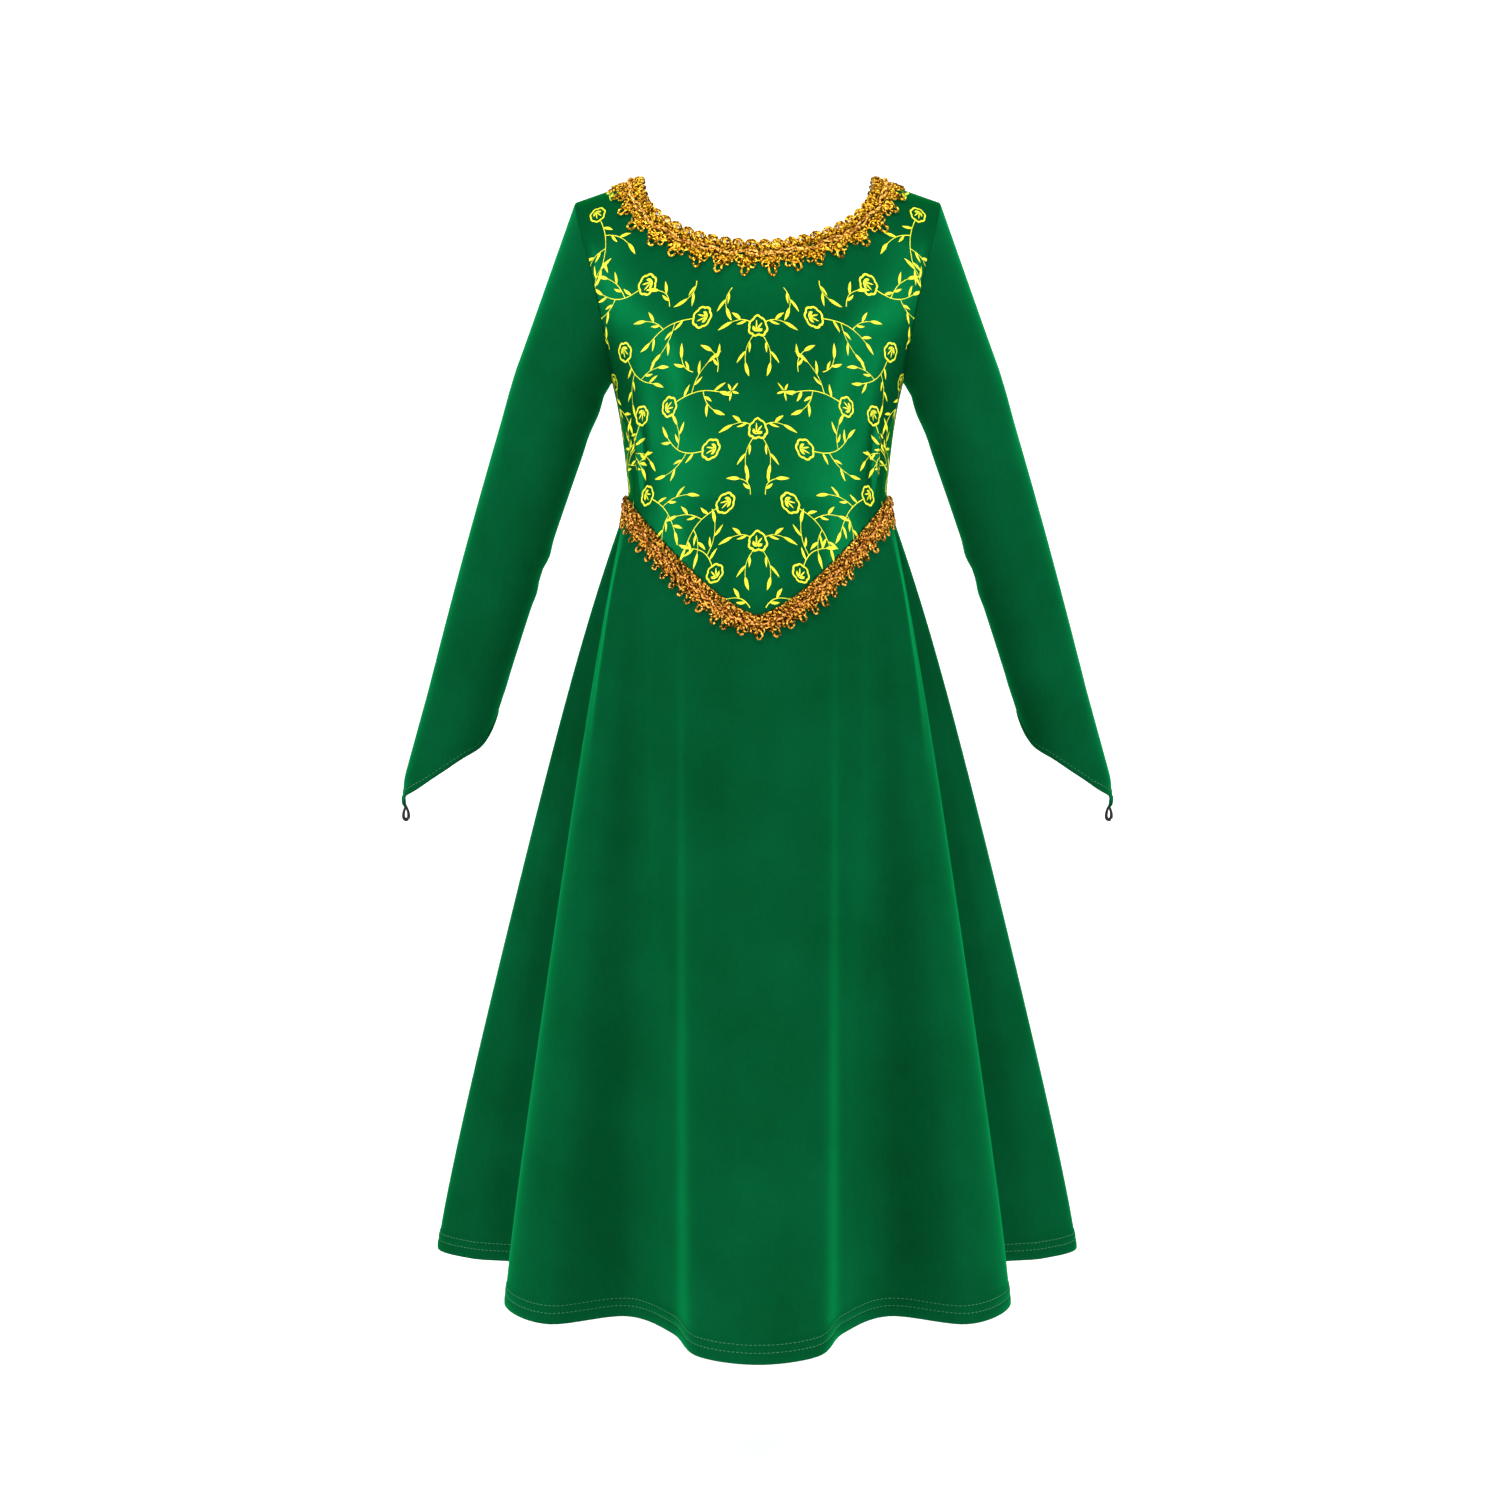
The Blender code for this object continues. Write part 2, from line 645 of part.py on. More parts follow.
def build():
    for obj in list(bpy.data.objects):
        bpy.data.objects.remove(obj)
    satin = cloth_material("printed green satin", (0.004, 0.090, 0.030), 0.42)
    green = cloth_material("green stretch velvet", (0.003, 0.105, 0.035), 0.55)
    gold = cloth_material("gold gimp lace", (0.62, 0.33, 0.03), 0.45, 0.3)
    copper = cloth_material("copper gimp lace", (0.45, 0.20, 0.025), 0.45, 0.3)
    elastic = cloth_material("black elastic", (0.01, 0.01, 0.012), 0.6)

    net = cloth_net()
    for number, name in enumerate(PANELS):
        make_panel(net, number, satin if name == "bodice_front" else green)
    tree = BVHTree.FromBMesh(net)
    lace_strip("neck_trim", tree, neck_path(), True, NECK_FAN, -LACE_OVERHANG, NECK_LACE_WIDTH, gold)
    start = -WAIST_LACE_ABOVE
    lace_strip("waist_trim", tree, waist_path(), False, WAIST_FAN, start, WAIST_LACE_WIDTH, copper)
    net.free()
    finger_loop("finger_loop_left", 1, elastic)
    finger_loop("finger_loop_right", -1, elastic)


build()
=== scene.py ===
import math
from bisect import bisect_right
from collections import namedtuple
from random import Random

import bmesh
import bpy
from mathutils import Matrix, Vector
from mathutils.bvhtree import BVHTree


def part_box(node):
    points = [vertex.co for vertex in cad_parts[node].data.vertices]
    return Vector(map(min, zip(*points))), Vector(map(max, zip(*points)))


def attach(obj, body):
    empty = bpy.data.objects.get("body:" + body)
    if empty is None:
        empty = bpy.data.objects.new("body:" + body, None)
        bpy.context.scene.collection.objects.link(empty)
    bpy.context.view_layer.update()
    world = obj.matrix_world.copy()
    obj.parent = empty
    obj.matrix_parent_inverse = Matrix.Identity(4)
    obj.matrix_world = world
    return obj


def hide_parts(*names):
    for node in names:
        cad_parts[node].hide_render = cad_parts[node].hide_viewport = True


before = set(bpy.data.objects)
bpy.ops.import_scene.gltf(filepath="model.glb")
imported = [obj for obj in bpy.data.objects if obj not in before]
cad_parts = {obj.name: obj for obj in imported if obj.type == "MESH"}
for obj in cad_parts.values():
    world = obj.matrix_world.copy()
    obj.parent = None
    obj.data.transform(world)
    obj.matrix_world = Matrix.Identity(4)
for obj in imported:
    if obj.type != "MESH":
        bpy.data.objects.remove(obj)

# A girl's costume gown, filled out with no wearer. x to the wearer's left, the front faces -y.
scene = bpy.context.scene
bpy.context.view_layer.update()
mm = 0.001
print("frame loaded", sorted(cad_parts))

body = {
    "shoulderZ": -0.017,
    "armpitZ": -0.154,
    "waistZ": -0.237,
    "sideSeamZ": -0.248,
    "vPointZ": -0.3315,
    "neckHalf": 0.0905,
    "neckDropFront": 0.0505,
    "neckDropBack": 0.062,
    "shoulderHalf": 0.140,
    "crestRadius": 0.045,     # rounding of the cloth over the shoulder
    "armpitHalf": 0.1128,
    "armholeBend": 1.55,
    "vPower": 1.5,
    "bendFade": 3,
}
skirt = {
    "hemZ": -0.860,
    "flarePower": 1.15,
    "flareStartSide": 0.012,
    "flareStartFront": 0.075,
    "hipFullness": 0.29,
    "turn": 0.0155,           # turned hem
    "turnStep": 0.001,
}
sleeve = {
    "tilt": math.radians(17.6),
    "topInner": Vector((0.1193, 0, -0.1646)),
    "topWidth": 0.0705,
    "topDepth": 0.073,
    "cuffWidth": 0.0575,
    "cuffDepth": 0.057,
    "cuffAt": 0.262,
    "bow": 0.0015,
    "pointCurl": 0.006,
    "pointCurlFrom": 0.328,
    "capLong": 0.075,         # the cap, above the arm's own tube
    "turn": 0.007,
    "turnStep": 0.001,
}
net = {
    "columns": 90,            # centre line to side seam, in faces
    "shoulderRows": 16,
    "armholeRows": 48,
    "sideRows": 16,
    "skirtRows": 110,
    "capRows": 24,
    "sleeveRows": 66,
    "weld": 0.00005,
    # rows set close to a seam, in parts of a row, so that its dip is narrow
    "overWaist": (0.6, 0.25),
    "underWaist": (0, 0.15, 0.45),
    "underShoulder": (0, 0.25, 0.6),
}
cloth = {
    "wall": 0.0010,
    "seamGap": 0.0002,
    "seamDip": 0.0006,        # a sewn seam pulls the cloth in
}

Level = namedtuple("Level", "z side front back")
bodyLevels = (
    Level(0.040, 0.150, 0.064, 0.060),
    Level(0.000, 0.150, 0.068, 0.064),
    Level(-0.050, 0.150, 0.078, 0.072),
    Level(-0.080, 0.1475, 0.084, 0.077),
    Level(-0.105, 0.138, 0.087, 0.079),
    Level(-0.130, 0.1222, 0.088, 0.079),
    Level(-0.154, 0.1128, 0.088, 0.077),
    Level(-0.190, 0.1058, 0.085, 0.073),
    Level(-0.237, 0.1005, 0.080, 0.069),
)
Fold = namedtuple("Fold", "name angle x y")     # angle round the waist, place at the hem
folds = (
    Fold("centre front", 0, 0.000, -0.2345),
    Fold("centre lobe side", 29, 0.045, -0.217),
    Fold("centre lobe flank", 39, 0.0645, -0.170),
    Fold("front valley", 52, 0.100, -0.1335),
    Fold("side lobe", 68, 0.160, -0.1505),
    Fold("overlapping edge", 81, 0.1950, -0.112),
    Fold("overlap return", 87, 0.1885, -0.050),
    Fold("side seam", 90, 0.190, -0.012),
    Fold("wing face", 95, 0.232, 0.000),
    Fold("wing edge", 100, 0.2625, 0.026),
    Fold("wing back", 107, 0.243, 0.078),
    Fold("back side valley", 117, 0.208, 0.106),
    Fold("back side lobe", 131, 0.172, 0.158),
    Fold("back valley", 146, 0.110, 0.152),
    Fold("back lobe flank", 157, 0.064, 0.184),
    Fold("centre back", 180, 0.000, 0.212),
)
sideSeamFold = 7
hemSamples = 24
CuffPoint = namedtuple("CuffPoint", "angle reach")   # 0 is the outer line, where the point is
cuffEdge = (
    CuffPoint(0, 0.3545),
    CuffPoint(10, 0.3500),
    CuffPoint(30, 0.3450),
    CuffPoint(60, 0.3350),
    CuffPoint(90, 0.3180),
    CuffPoint(120, 0.3010),
    CuffPoint(160, 0.2850),
    CuffPoint(180, 0.2670),
)
panels = ("bodice_front", "bodice_back", "skirt_front", "skirt_back", "sleeve_left", "sleeve_right")


# Curves through tables
def hermite(knots, values, at):
    last = len(knots) - 1
    at = min(max(at, knots[0]), knots[-1])
    i = min(max(bisect_right(knots, at) - 1, 0), last - 1)

    def slope(k):
        low, high = max(k - 1, 0), min(k + 1, last)
        return (values[high] - values[low]) / (knots[high] - knots[low])

    span = knots[i + 1] - knots[i]
    t = (at - knots[i]) / span
    start = values[i] * (2 * t**3 - 3 * t**2 + 1) + slope(i) * span * (t**3 - 2 * t**2 + t)
    return start + values[i + 1] * (3 * t**2 - 2 * t**3) + slope(i + 1) * span * (t**3 - t**2)


def smooth(t):
    t = min(max(t, 0), 1)
    return t * t * (3 - 2 * t)


# Length along a line of points, up to each of them
def runOf(points):
    run = [0.0]
    for a, b in zip(points, points[1:]):
        run.append(run[-1] + (b - a).length)
    return run


def alongRun(run, values, at):
    i = min(max(bisect_right(run, at) - 1, 0), len(run) - 2)
    share = (at - run[i]) / (run[i + 1] - run[i])
    return values[i] + (values[i + 1] - values[i]) * share


levelKnots = [-row.z for row in bodyLevels]
levelColumns = {name: [getattr(row, name) for row in bodyLevels] for name in ("side", "front", "back")}


def levelAt(z, name):
    return hermite(levelKnots, levelColumns[name], -z)


def makeHem():
    rows = [Vector((f.angle, f.x, f.y)) for f in folds]
    before, after = rows[1].copy(), rows[-2].copy()
    before.x, before.y = -before.x, -before.y
    after.x, after.y = 360 - after.x, -after.y
    points = [before, *rows, after]
    knots = [0.0]
    for a, b in zip(points, points[1:]):
        knots.append(knots[-1] + (b.yz - a.yz).length ** 0.5)
    dense = []
    for k in range(1, len(points) - 2):
        for step in range(hemSamples):
            dense.append(hermite(knots, points, knots[k] + (knots[k + 1] - knots[k]) * step / hemSamples))
    dense.append(rows[-1])
    return dense


hem = makeHem()
hemAngles = [p.x for p in hem]
hemSeam = hemSamples * sideSeamFold


# The gown's surface: angle in degrees from the centre front, 0, to the centre back, 180
def shoulderLine(x):
    return body["shoulderZ"] / (body["shoulderHalf"] - body["neckHalf"]) * (x - body["neckHalf"])


def crest(drop):
    if drop < net["weld"] / 100:
        return 0
    return math.sqrt(1 - max(1 - drop / body["crestRadius"], 0) ** 2)


def ringPoint(angle, z):
    turn = math.radians(angle)
    depth = levelAt(z, "front" if angle <= 90 else "back")
    return Vector((levelAt(z, "side") * math.sin(turn), -depth * math.cos(turn), z))


def flare(angle, z):
    start = skirt["flareStartSide"]
    start += (skirt["flareStartFront"] - start) * math.cos(math.radians(angle)) ** 2

    def eased(t):
        return t - start * (1 - math.exp(-t / start))

    share = (body["waistZ"] - z) / (body["waistZ"] - skirt["hemZ"])
    hip = skirt["hipFullness"] * math.sin(math.radians(angle)) ** 4
    hip *= share**0.8 * max(1 - share, 0) ** 3.2
    return 1 - max(1 - eased(share) / eased(1), 0) ** skirt["flarePower"] + hip


def gownPoint(angle, z):
    if z >= body["waistZ"]:
        point = ringPoint(angle, z)
        point.y *= crest(shoulderLine(point.x) - z)
        return point
    waist = ringPoint(angle, body["waistZ"])
    place = alongRun(hemAngles, hem, angle)
    return waist.lerp(Vector((place.y, place.z, waist.z)), flare(angle, z)) + Vector((0, 0, z - waist.z))


def waistSeam(angle):
    if angle > 90:
        return body["sideSeamZ"]
    rise = math.sin(math.radians(angle)) ** body["vPower"]
    return body["vPointZ"] + (body["sideSeamZ"] - body["vPointZ"]) * rise


def angleAt(x, z, back):
    angle = math.degrees(math.asin(min(x / levelAt(z, "side"), 1)))
    return 180 - angle if back else angle


def neckEdge(turn, back):
    x = body["neckHalf"] * math.sin(math.radians(turn))
    z = -body["neckDropBack" if back else "neckDropFront"] * math.cos(math.radians(turn))
    return angleAt(x, z, back), z


def shoulderEdge(share, back):
    x = body["neckHalf"] + (body["shoulderHalf"] - body["neckHalf"]) * share
    return angleAt(x, shoulderLine(x), back), shoulderLine(x)


def armholeEdge(turn, back):
    rise = (1 + math.cos(math.radians(turn))) / 2
    z = body["armpitZ"] + (body["shoulderZ"] - body["armpitZ"]) * rise
    x = body["armpitHalf"] + (body["shoulderHalf"] - body["armpitHalf"]) * rise ** body["armholeBend"]
    return angleAt(x, z, back), z


def wayDown(x, z):
    drop = shoulderLine(x) - z
    radius = body["crestRadius"]
    if drop >= radius:
        return radius * (math.pi / 2 - 1) + drop
    return radius * math.acos(1 - max(drop, 0) / radius)


def chart(edge):
    angle, z = edge
    return Vector((angle, wayDown(ringPoint(angle, z).x, z)))


def fromChart(place):
    angle, way = place
    radius = body["crestRadius"]
    drop = way - radius * (math.pi / 2 - 1)
    if way < radius * math.pi / 2:
        drop = radius * (1 - math.cos(way / radius))
    z = -drop
    for _ in range(14):
        z = shoulderLine(ringPoint(angle, z).x) - drop
    return angle, z


def sideEdge(row, back):
    if row <= net["shoulderRows"]:
        return shoulderEdge(row / net["shoulderRows"], back)
    row -= net["shoulderRows"]
    if row <= net["armholeRows"]:
        return armholeEdge(180 * row / net["armholeRows"], back)
    share = (row - net["armholeRows"]) / net["sideRows"]
    return 90, body["armpitZ"] + (body["sideSeamZ"] - body["armpitZ"]) * share


# The last faces before a side seam are narrow, so that the seam shows as a line
def columnShares():
    count = net["columns"]
    return [k / count for k in range(count)] + [(count - 0.5) / count, 1]


def seamAngles(back):
    stretch = hem[hemSeam:][::-1] if back else hem[: hemSeam + 1]
    run = runOf([Vector((p.y, p.z)) for p in stretch])
    return [alongRun(run, [p.x for p in stretch], run[-1] * share) for share in columnShares()]


across = Vector((math.cos(sleeve["tilt"]), 0, math.sin(sleeve["tilt"])))
along = Vector((math.sin(sleeve["tilt"]), 0, -math.cos(sleeve["tilt"])))


def sleevePoint(reach, turn, side):
    share = reach / sleeve["cuffAt"]
    width = sleeve["topWidth"] + (sleeve["cuffWidth"] - sleeve["topWidth"]) * share
    depth = sleeve["topDepth"] + (sleeve["cuffDepth"] - sleeve["topDepth"]) * share
    middle = sleeve["topInner"] + across * (sleeve["topWidth"] / 2) + along * reach
    middle += across * sleeve["bow"] * math.sin(math.pi * min(share, 1))
    curlRun = cuffEdge[0].reach - sleeve["pointCurlFrom"]
    middle -= across * sleeve["pointCurl"] * (max(reach - sleeve["pointCurlFrom"], 0) / curlRun) ** 2
    turn = math.radians(turn)
    ahead = Vector((0, -side * depth / 2 * math.sin(turn), 0))
    return middle + across * (width / 2 * math.cos(turn)) + ahead


def cuffReach(turn):
    return hermite([p.angle for p in cuffEdge], [p.reach for p in cuffEdge], turn)


def capPoint(share, turn, side):
    shoulder, armpit = gownPoint(*armholeEdge(0, False)), gownPoint(*armholeEdge(180, False))
    outer = shoulder.lerp(sleevePoint(0, 0, side), share)
    inner = armpit.lerp(sleevePoint(0, 180, side), share)
    edge = gownPoint(*armholeEdge(turn, side < 0))
    angle = math.radians(turn)

    def oval(top, bottom, depth):
        middle, reach = (top + bottom) / 2, (top - bottom) / 2
        return middle + reach * math.cos(angle) + Vector((0, -side * depth * math.sin(angle), 0))

    armholeDepth = abs(gownPoint(*armholeEdge(90, side < 0)).y)
    leftOver = edge - oval(shoulder, armpit, armholeDepth)
    depth = armholeDepth + (sleeve["topDepth"] / 2 - armholeDepth) * share
    return oval(outer, inner, depth) + leftOver * (1 - share) ** 2


# Creases. Height above the form, a trough is below 0. Width in degrees round the body.
Crease = namedtuple("Crease", "name fromAngle fromZ toAngle toZ height width")
bodyCreases = (
    Crease("bodice fall", 28, -0.085, 31, -0.215, 0.0013, 5.5),
    Crease("bodice fall's outer trough", 44, -0.090, 46, -0.230, -0.0013, 7.0),
    Crease("bodice centre hollow", 0, -0.075, 0, -0.300, -0.0014, 15.0),
    Crease("side pinch", 60, -0.178, 65, -0.255, 0.0019, 1.7),
    Crease("side pinch's inner trough", 56, -0.170, 60, -0.255, -0.0013, 2.4),
    Crease("side pinch's outer trough", 65, -0.182, 70, -0.250, -0.0014, 2.4),
    Crease("short drag under the arm", 79, -0.158, 62, -0.205, 0.0016, 3.4),
    Crease("shoulder drag", 62, -0.020, 50, -0.085, 0.0012, 4.0),
    Crease("back fall", 148, -0.090, 146, -0.225, 0.0022, 5.5),
    Crease("back fall's trough", 136, -0.095, 135, -0.225, -0.0018, 5.5),
    Crease("back centre hollow", 180, -0.080, 180, -0.235, -0.0016, 11.0),
    Crease("back pinch", 112, -0.176, 109, -0.246, 0.0030, 2.8),
    Crease("back pinch's trough", 119, -0.172, 117, -0.246, -0.0022, 3.4),
    Crease("skirt front ridge", 50, -0.290, 41, -0.640, 0.0026, 5.0),
    Crease("skirt front ridge's outer trough", 60, -0.270, 54, -0.600, -0.0018, 5.5),
    Crease("skirt centre hollow", 0, -0.340, 0, -0.700, -0.0030, 20.0),
    Crease("skirt hip ridge", 75, -0.252, 73, -0.470, 0.0030, 3.4),
    Crease("skirt lap shadow", 85, -0.262, 85, -0.760, -0.0026, 1.6),
    Crease("low centre ridge", 14, -0.520, 12, -0.840, 0.0020, 6.0),
    Crease("skirt back ridge", 150, -0.256, 154, -0.560, 0.0042, 4.5),
    Crease("skirt back trough", 139, -0.254, 143, -0.520, -0.0036, 4.6),
    Crease("skirt back hip ridge", 124, -0.254, 127, -0.500, 0.0036, 3.6),
    Crease("skirt back hip trough", 114, -0.254, 116, -0.460, -0.0030, 3.4),
    Crease("skirt back centre hollow", 180, -0.262, 180, -0.640, -0.0036, 9.0),
)
# On the sleeve: reach and turn of its middle, how far it slants, its length and its width
SleeveCrease = namedtuple("SleeveCrease", "name reach turn slant height length width")
sleeveCreases = (
    SleeveCrease("armpit drag", 0.020, 140, -0.35, 0.0018, 0.060, 0.010),
    SleeveCrease("second armpit drag", 0.048, 128, -0.45, -0.0013, 0.060, 0.009),
    SleeveCrease("elbow fold", 0.128, 150, 0.18, 0.0016, 0.060, 0.008),
    SleeveCrease("elbow fold's trough", 0.143, 150, 0.20, -0.0015, 0.058, 0.008),
    SleeveCrease("second elbow fold", 0.158, 146, 0.26, 0.0012, 0.050, 0.007),
    SleeveCrease("wrist fold", 0.232, 132, 0.30, 0.0011, 0.046, 0.008),
    SleeveCrease("upper arm fall", 0.070, 62, 1.8, 0.0013, 0.120, 0.012),
)


def bodyCrease(angle, z):
    height = 0
    for c in bodyCreases:
        t = (z - c.fromZ) / (c.toZ - c.fromZ)
        if 0 < t < 1:
            off = (angle - c.fromAngle - (c.toAngle - c.fromAngle) * t) / c.width
            height += c.height * smooth(t / 0.3) * smooth((1 - t) / 0.45) * math.exp(-off * off)
    return height


# The satin stands up a little over the lace at the front point. Angles are in degrees from the centre.
pointSwell = {
    "height": 0.0032,
    "above": 0.015,           # its crest, over the seam
    "width": 20,
    "upTo": 60,
}


def pointLift(angle, z):
    if angle >= pointSwell["upTo"]:
        return 0
    above = max(z - waistSeam(angle), 0) / pointSwell["above"]
    return pointSwell["height"] * above * math.exp(1 - above - (angle / pointSwell["width"]) ** 2)


def sleeveCrease(reach, turn):
    height = 0
    for c in sleeveCreases:
        arc = math.radians(turn - c.turn) * sleeve["topWidth"] / 2
        down = reach - c.reach
        run, off = down, arc - down / c.slant
        if abs(c.slant) < 1:
            run, off = arc, down - c.slant * arc
        height += c.height * math.exp(-((run / (c.length / 2)) ** 2) - (off / c.width) ** 2)
    return height


# One net of all the cloth's outer faces, with shared points along the seams
def addGrid(mesh, panel, rows, offsets, flip):
    out = mesh.verts.layers.float["out"]
    grid = []
    for row, heights in zip(rows, offsets):
        line = []
        for point, height in zip(row, heights):
            vert = mesh.verts.new(point)
            vert[out] = height
            line.append(vert)
        grid.append(line)
    for upper, lower in zip(grid, grid[1:]):
        for a, b, c, d in zip(upper, upper[1:], lower[1:], lower):
            face = mesh.faces.new((a, b, c, d) if flip else (d, c, b, a))
            face.material_index = panel


def mirrored(points):
    return [Vector((-p.x, p.y, p.z)) for p in points]


def bodiceRows(back):
    steps = 60
    places = [chart(neckEdge(90 * k / steps, back)) for k in range(steps + 1)]
    run = runOf([gownPoint(*fromChart(p)) for p in places])
    neck = [alongRun(run, places, run[-1] * share) for share in columnShares()]
    waist = [chart((angle, waistSeam(angle))) for angle in seamAngles(back)]
    total = net["shoulderRows"] + net["armholeRows"] + net["sideRows"]
    rows, offsets = [], []
    for row in [*range(total), *[total - near for near in net["overWaist"]], total]:
        down = row / total
        side = chart(sideEdge(row, back))
        middle = neck[0].lerp(waist[0], down)
        line, heights = [], []
        for column, out in enumerate(columnShares()):
            neckBend = neck[column] - neck[0].lerp(neck[-1], out)
            waistBend = waist[column] - waist[0].lerp(waist[-1], out)
            place = middle.lerp(side, out) + neckBend * (1 - down) ** body["bendFade"]
            angle, z = fromChart(place + waistBend * down ** body["bendFade"])
            line.append(gownPoint(angle, z))
            height = bodyCrease(angle, z) + pointLift(angle, z)
            heights.append(-cloth["seamDip"] if out == 1 or down == 1 else height)
        rows.append(line)
        offsets.append(heights)
    return rows, offsets


# Turned hem, from its fold line down to its edge: height above the edge and how far it stands out
HemLine = namedtuple("HemLine", "name above proud")
skirtHemLines = (
    HemLine("fold line", 15.5 * mm, 0.5 * mm),
    HemLine("upper stitches, above", 14.9 * mm, 0.5 * mm),
    HemLine("upper stitches", 14.3 * mm, 0.05 * mm),
    HemLine("upper stitches, below", 13.7 * mm, 0.5 * mm),
    HemLine("between the stitches", 11.4 * mm, 0.75 * mm),
    HemLine("lower stitches, above", 9.1 * mm, 0.5 * mm),
    HemLine("lower stitches", 8.5 * mm, 0.05 * mm),
    HemLine("lower stitches, below", 7.9 * mm, 0.5 * mm),
    HemLine("hem's face", 4.0 * mm, 0.7 * mm),
    HemLine("hem's roll", 0.7 * mm, 0.45 * mm),
    HemLine("edge", 0, -0.1 * mm),
)
cuffHemLines = (
    HemLine("fold line", 7.0 * mm, 0.45 * mm),
    HemLine("stitches, above", 6.4 * mm, 0.5 * mm),
    HemLine("stitches", 5.8 * mm, 0.05 * mm),
    HemLine("stitches, below", 5.2 * mm, 0.5 * mm),
    HemLine("hem's face", 2.6 * mm, 0.7 * mm),
    HemLine("hem's roll", 0.6 * mm, 0.4 * mm),
    HemLine("edge", 0, -0.1 * mm),
)


def skirtRows(back):
    count = net["skirtRows"]
    rows, offsets = [], []
    foldLine = skirt["hemZ"] + skirt["turn"]
    for step in [*net["underWaist"], *range(1, count + 1)]:
        line, heights = [], []
        for angle in seamAngles(back):
            top = waistSeam(angle)
            z = top + (foldLine + skirt["turnStep"] - top) * step / count
            line.append(gownPoint(angle, z))
            seam = step == 0 or angle == 90
            heights.append(-cloth["seamDip"] if seam else bodyCrease(angle, z))
        rows.append(line)
        offsets.append(heights)
    for hemLine in skirtHemLines:
        z = skirt["hemZ"] + hemLine.above
        rows.append([gownPoint(angle, z) for angle in seamAngles(back)])
        offsets.append([hemLine.proud + bodyCrease(angle, z) for angle in seamAngles(back)])
    return rows, offsets


def sleeveRows(side):
    turns = [180 * k / net["armholeRows"] for k in range(net["armholeRows"] + 1)]
    dips = [-cloth["seamDip"] if turn == 180 else 0 for turn in turns]
    rows, offsets = [], []
    for step in [*net["underShoulder"], *range(1, net["capRows"])]:
        share = step / net["capRows"]
        rows.append([capPoint(share, turn, side) for turn in turns])
        reach = -sleeve["capLong"] * (1 - share)
        heights = [dip or sleeveCrease(reach, t) * smooth(share * 2) for t, dip in zip(turns, dips)]
        offsets.append([-cloth["seamDip"]] * len(turns) if step == 0 else heights)
    for step in range(net["sleeveRows"] + 1):
        ends = [cuffReach(turn) - sleeve["turn"] - sleeve["turnStep"] for turn in turns]
        reaches = [end * step / net["sleeveRows"] for end in ends]
        rows.append([sleevePoint(r, t, side) for r, t in zip(reaches, turns)])
        offsets.append([dip or sleeveCrease(r, t) for r, t, dip in zip(reaches, turns, dips)])
    for hemLine in cuffHemLines:
        rows.append([sleevePoint(cuffReach(turn) - hemLine.above, turn, side) for turn in turns])
        offsets.append([hemLine.proud] * len(turns))
    return rows, offsets


def clothNet():
    mesh = bmesh.new()
    mesh.verts.layers.float.new("out")
    for back in (False, True):
        bodice, bodiceOut = bodiceRows(back)
        skirtLines, skirtOut = skirtRows(back)
        sleeveLines, sleeveOut = sleeveRows(-1 if back else 1)
        for rows, flip in ((bodice, back), ([mirrored(row) for row in bodice], not back)):
            addGrid(mesh, 1 if back else 0, rows, bodiceOut, flip)
        for rows, flip in ((skirtLines, back), ([mirrored(row) for row in skirtLines], not back)):
            addGrid(mesh, 3 if back else 2, rows, skirtOut, flip)
        addGrid(mesh, 4, sleeveLines, sleeveOut, not back)
        addGrid(mesh, 5, [mirrored(row) for row in sleeveLines], sleeveOut, back)
    bmesh.ops.remove_doubles(mesh, verts=mesh.verts, dist=net["weld"])
    mesh.normal_update()
    out = mesh.verts.layers.float["out"]
    for vert, place in [(v, v.co + v.normal * v[out]) for v in mesh.verts]:
        vert.co = place
    mesh.normal_update()
    return mesh


gown = clothNet()
gownTree = BVHTree.FromBMesh(gown)
print("cloth net", len(gown.verts), "points")


# Materials
def hexToLinear(text):
    channels = [int(text[k:k + 2], 16) / 255 for k in (1, 3, 5)]
    return (*[c / 12.92 if c <= 0.04045 else ((c + 0.055) / 1.055) ** 2.4 for c in channels], 1)


# Adds a node. Settings are its own values by name, or its inputs by name or number.
# Stops are a colour ramp's positions and their colours.
def addNode(tree, kind, settings=None, links=None, stops=()):
    node = tree.nodes.new(kind)
    for key, value in (settings or {}).items():
        if isinstance(key, str) and hasattr(node, key):
            setattr(node, key, value)
        else:
            node.inputs[key].default_value = value
    for key, source in (links or {}).items():
        tree.links.new(source, node.inputs[key])
    for k, (position, colour) in enumerate((*stops[:1], *stops[-1:])):
        node.color_ramp.elements[k].position = position
        node.color_ramp.elements[k].color = hexToLinear(colour)
    for position, colour in stops[1:-1]:
        node.color_ramp.elements.new(position).color = hexToLinear(colour)
    return node


def newMaterial(name, surface):
    material = bpy.data.materials.new(name)
    material.use_nodes = True
    tree = material.node_tree
    shader = tree.nodes["Principled BSDF"]
    for key, value in surface.items():
        shader.inputs[key].default_value = value
    return material, tree, shader


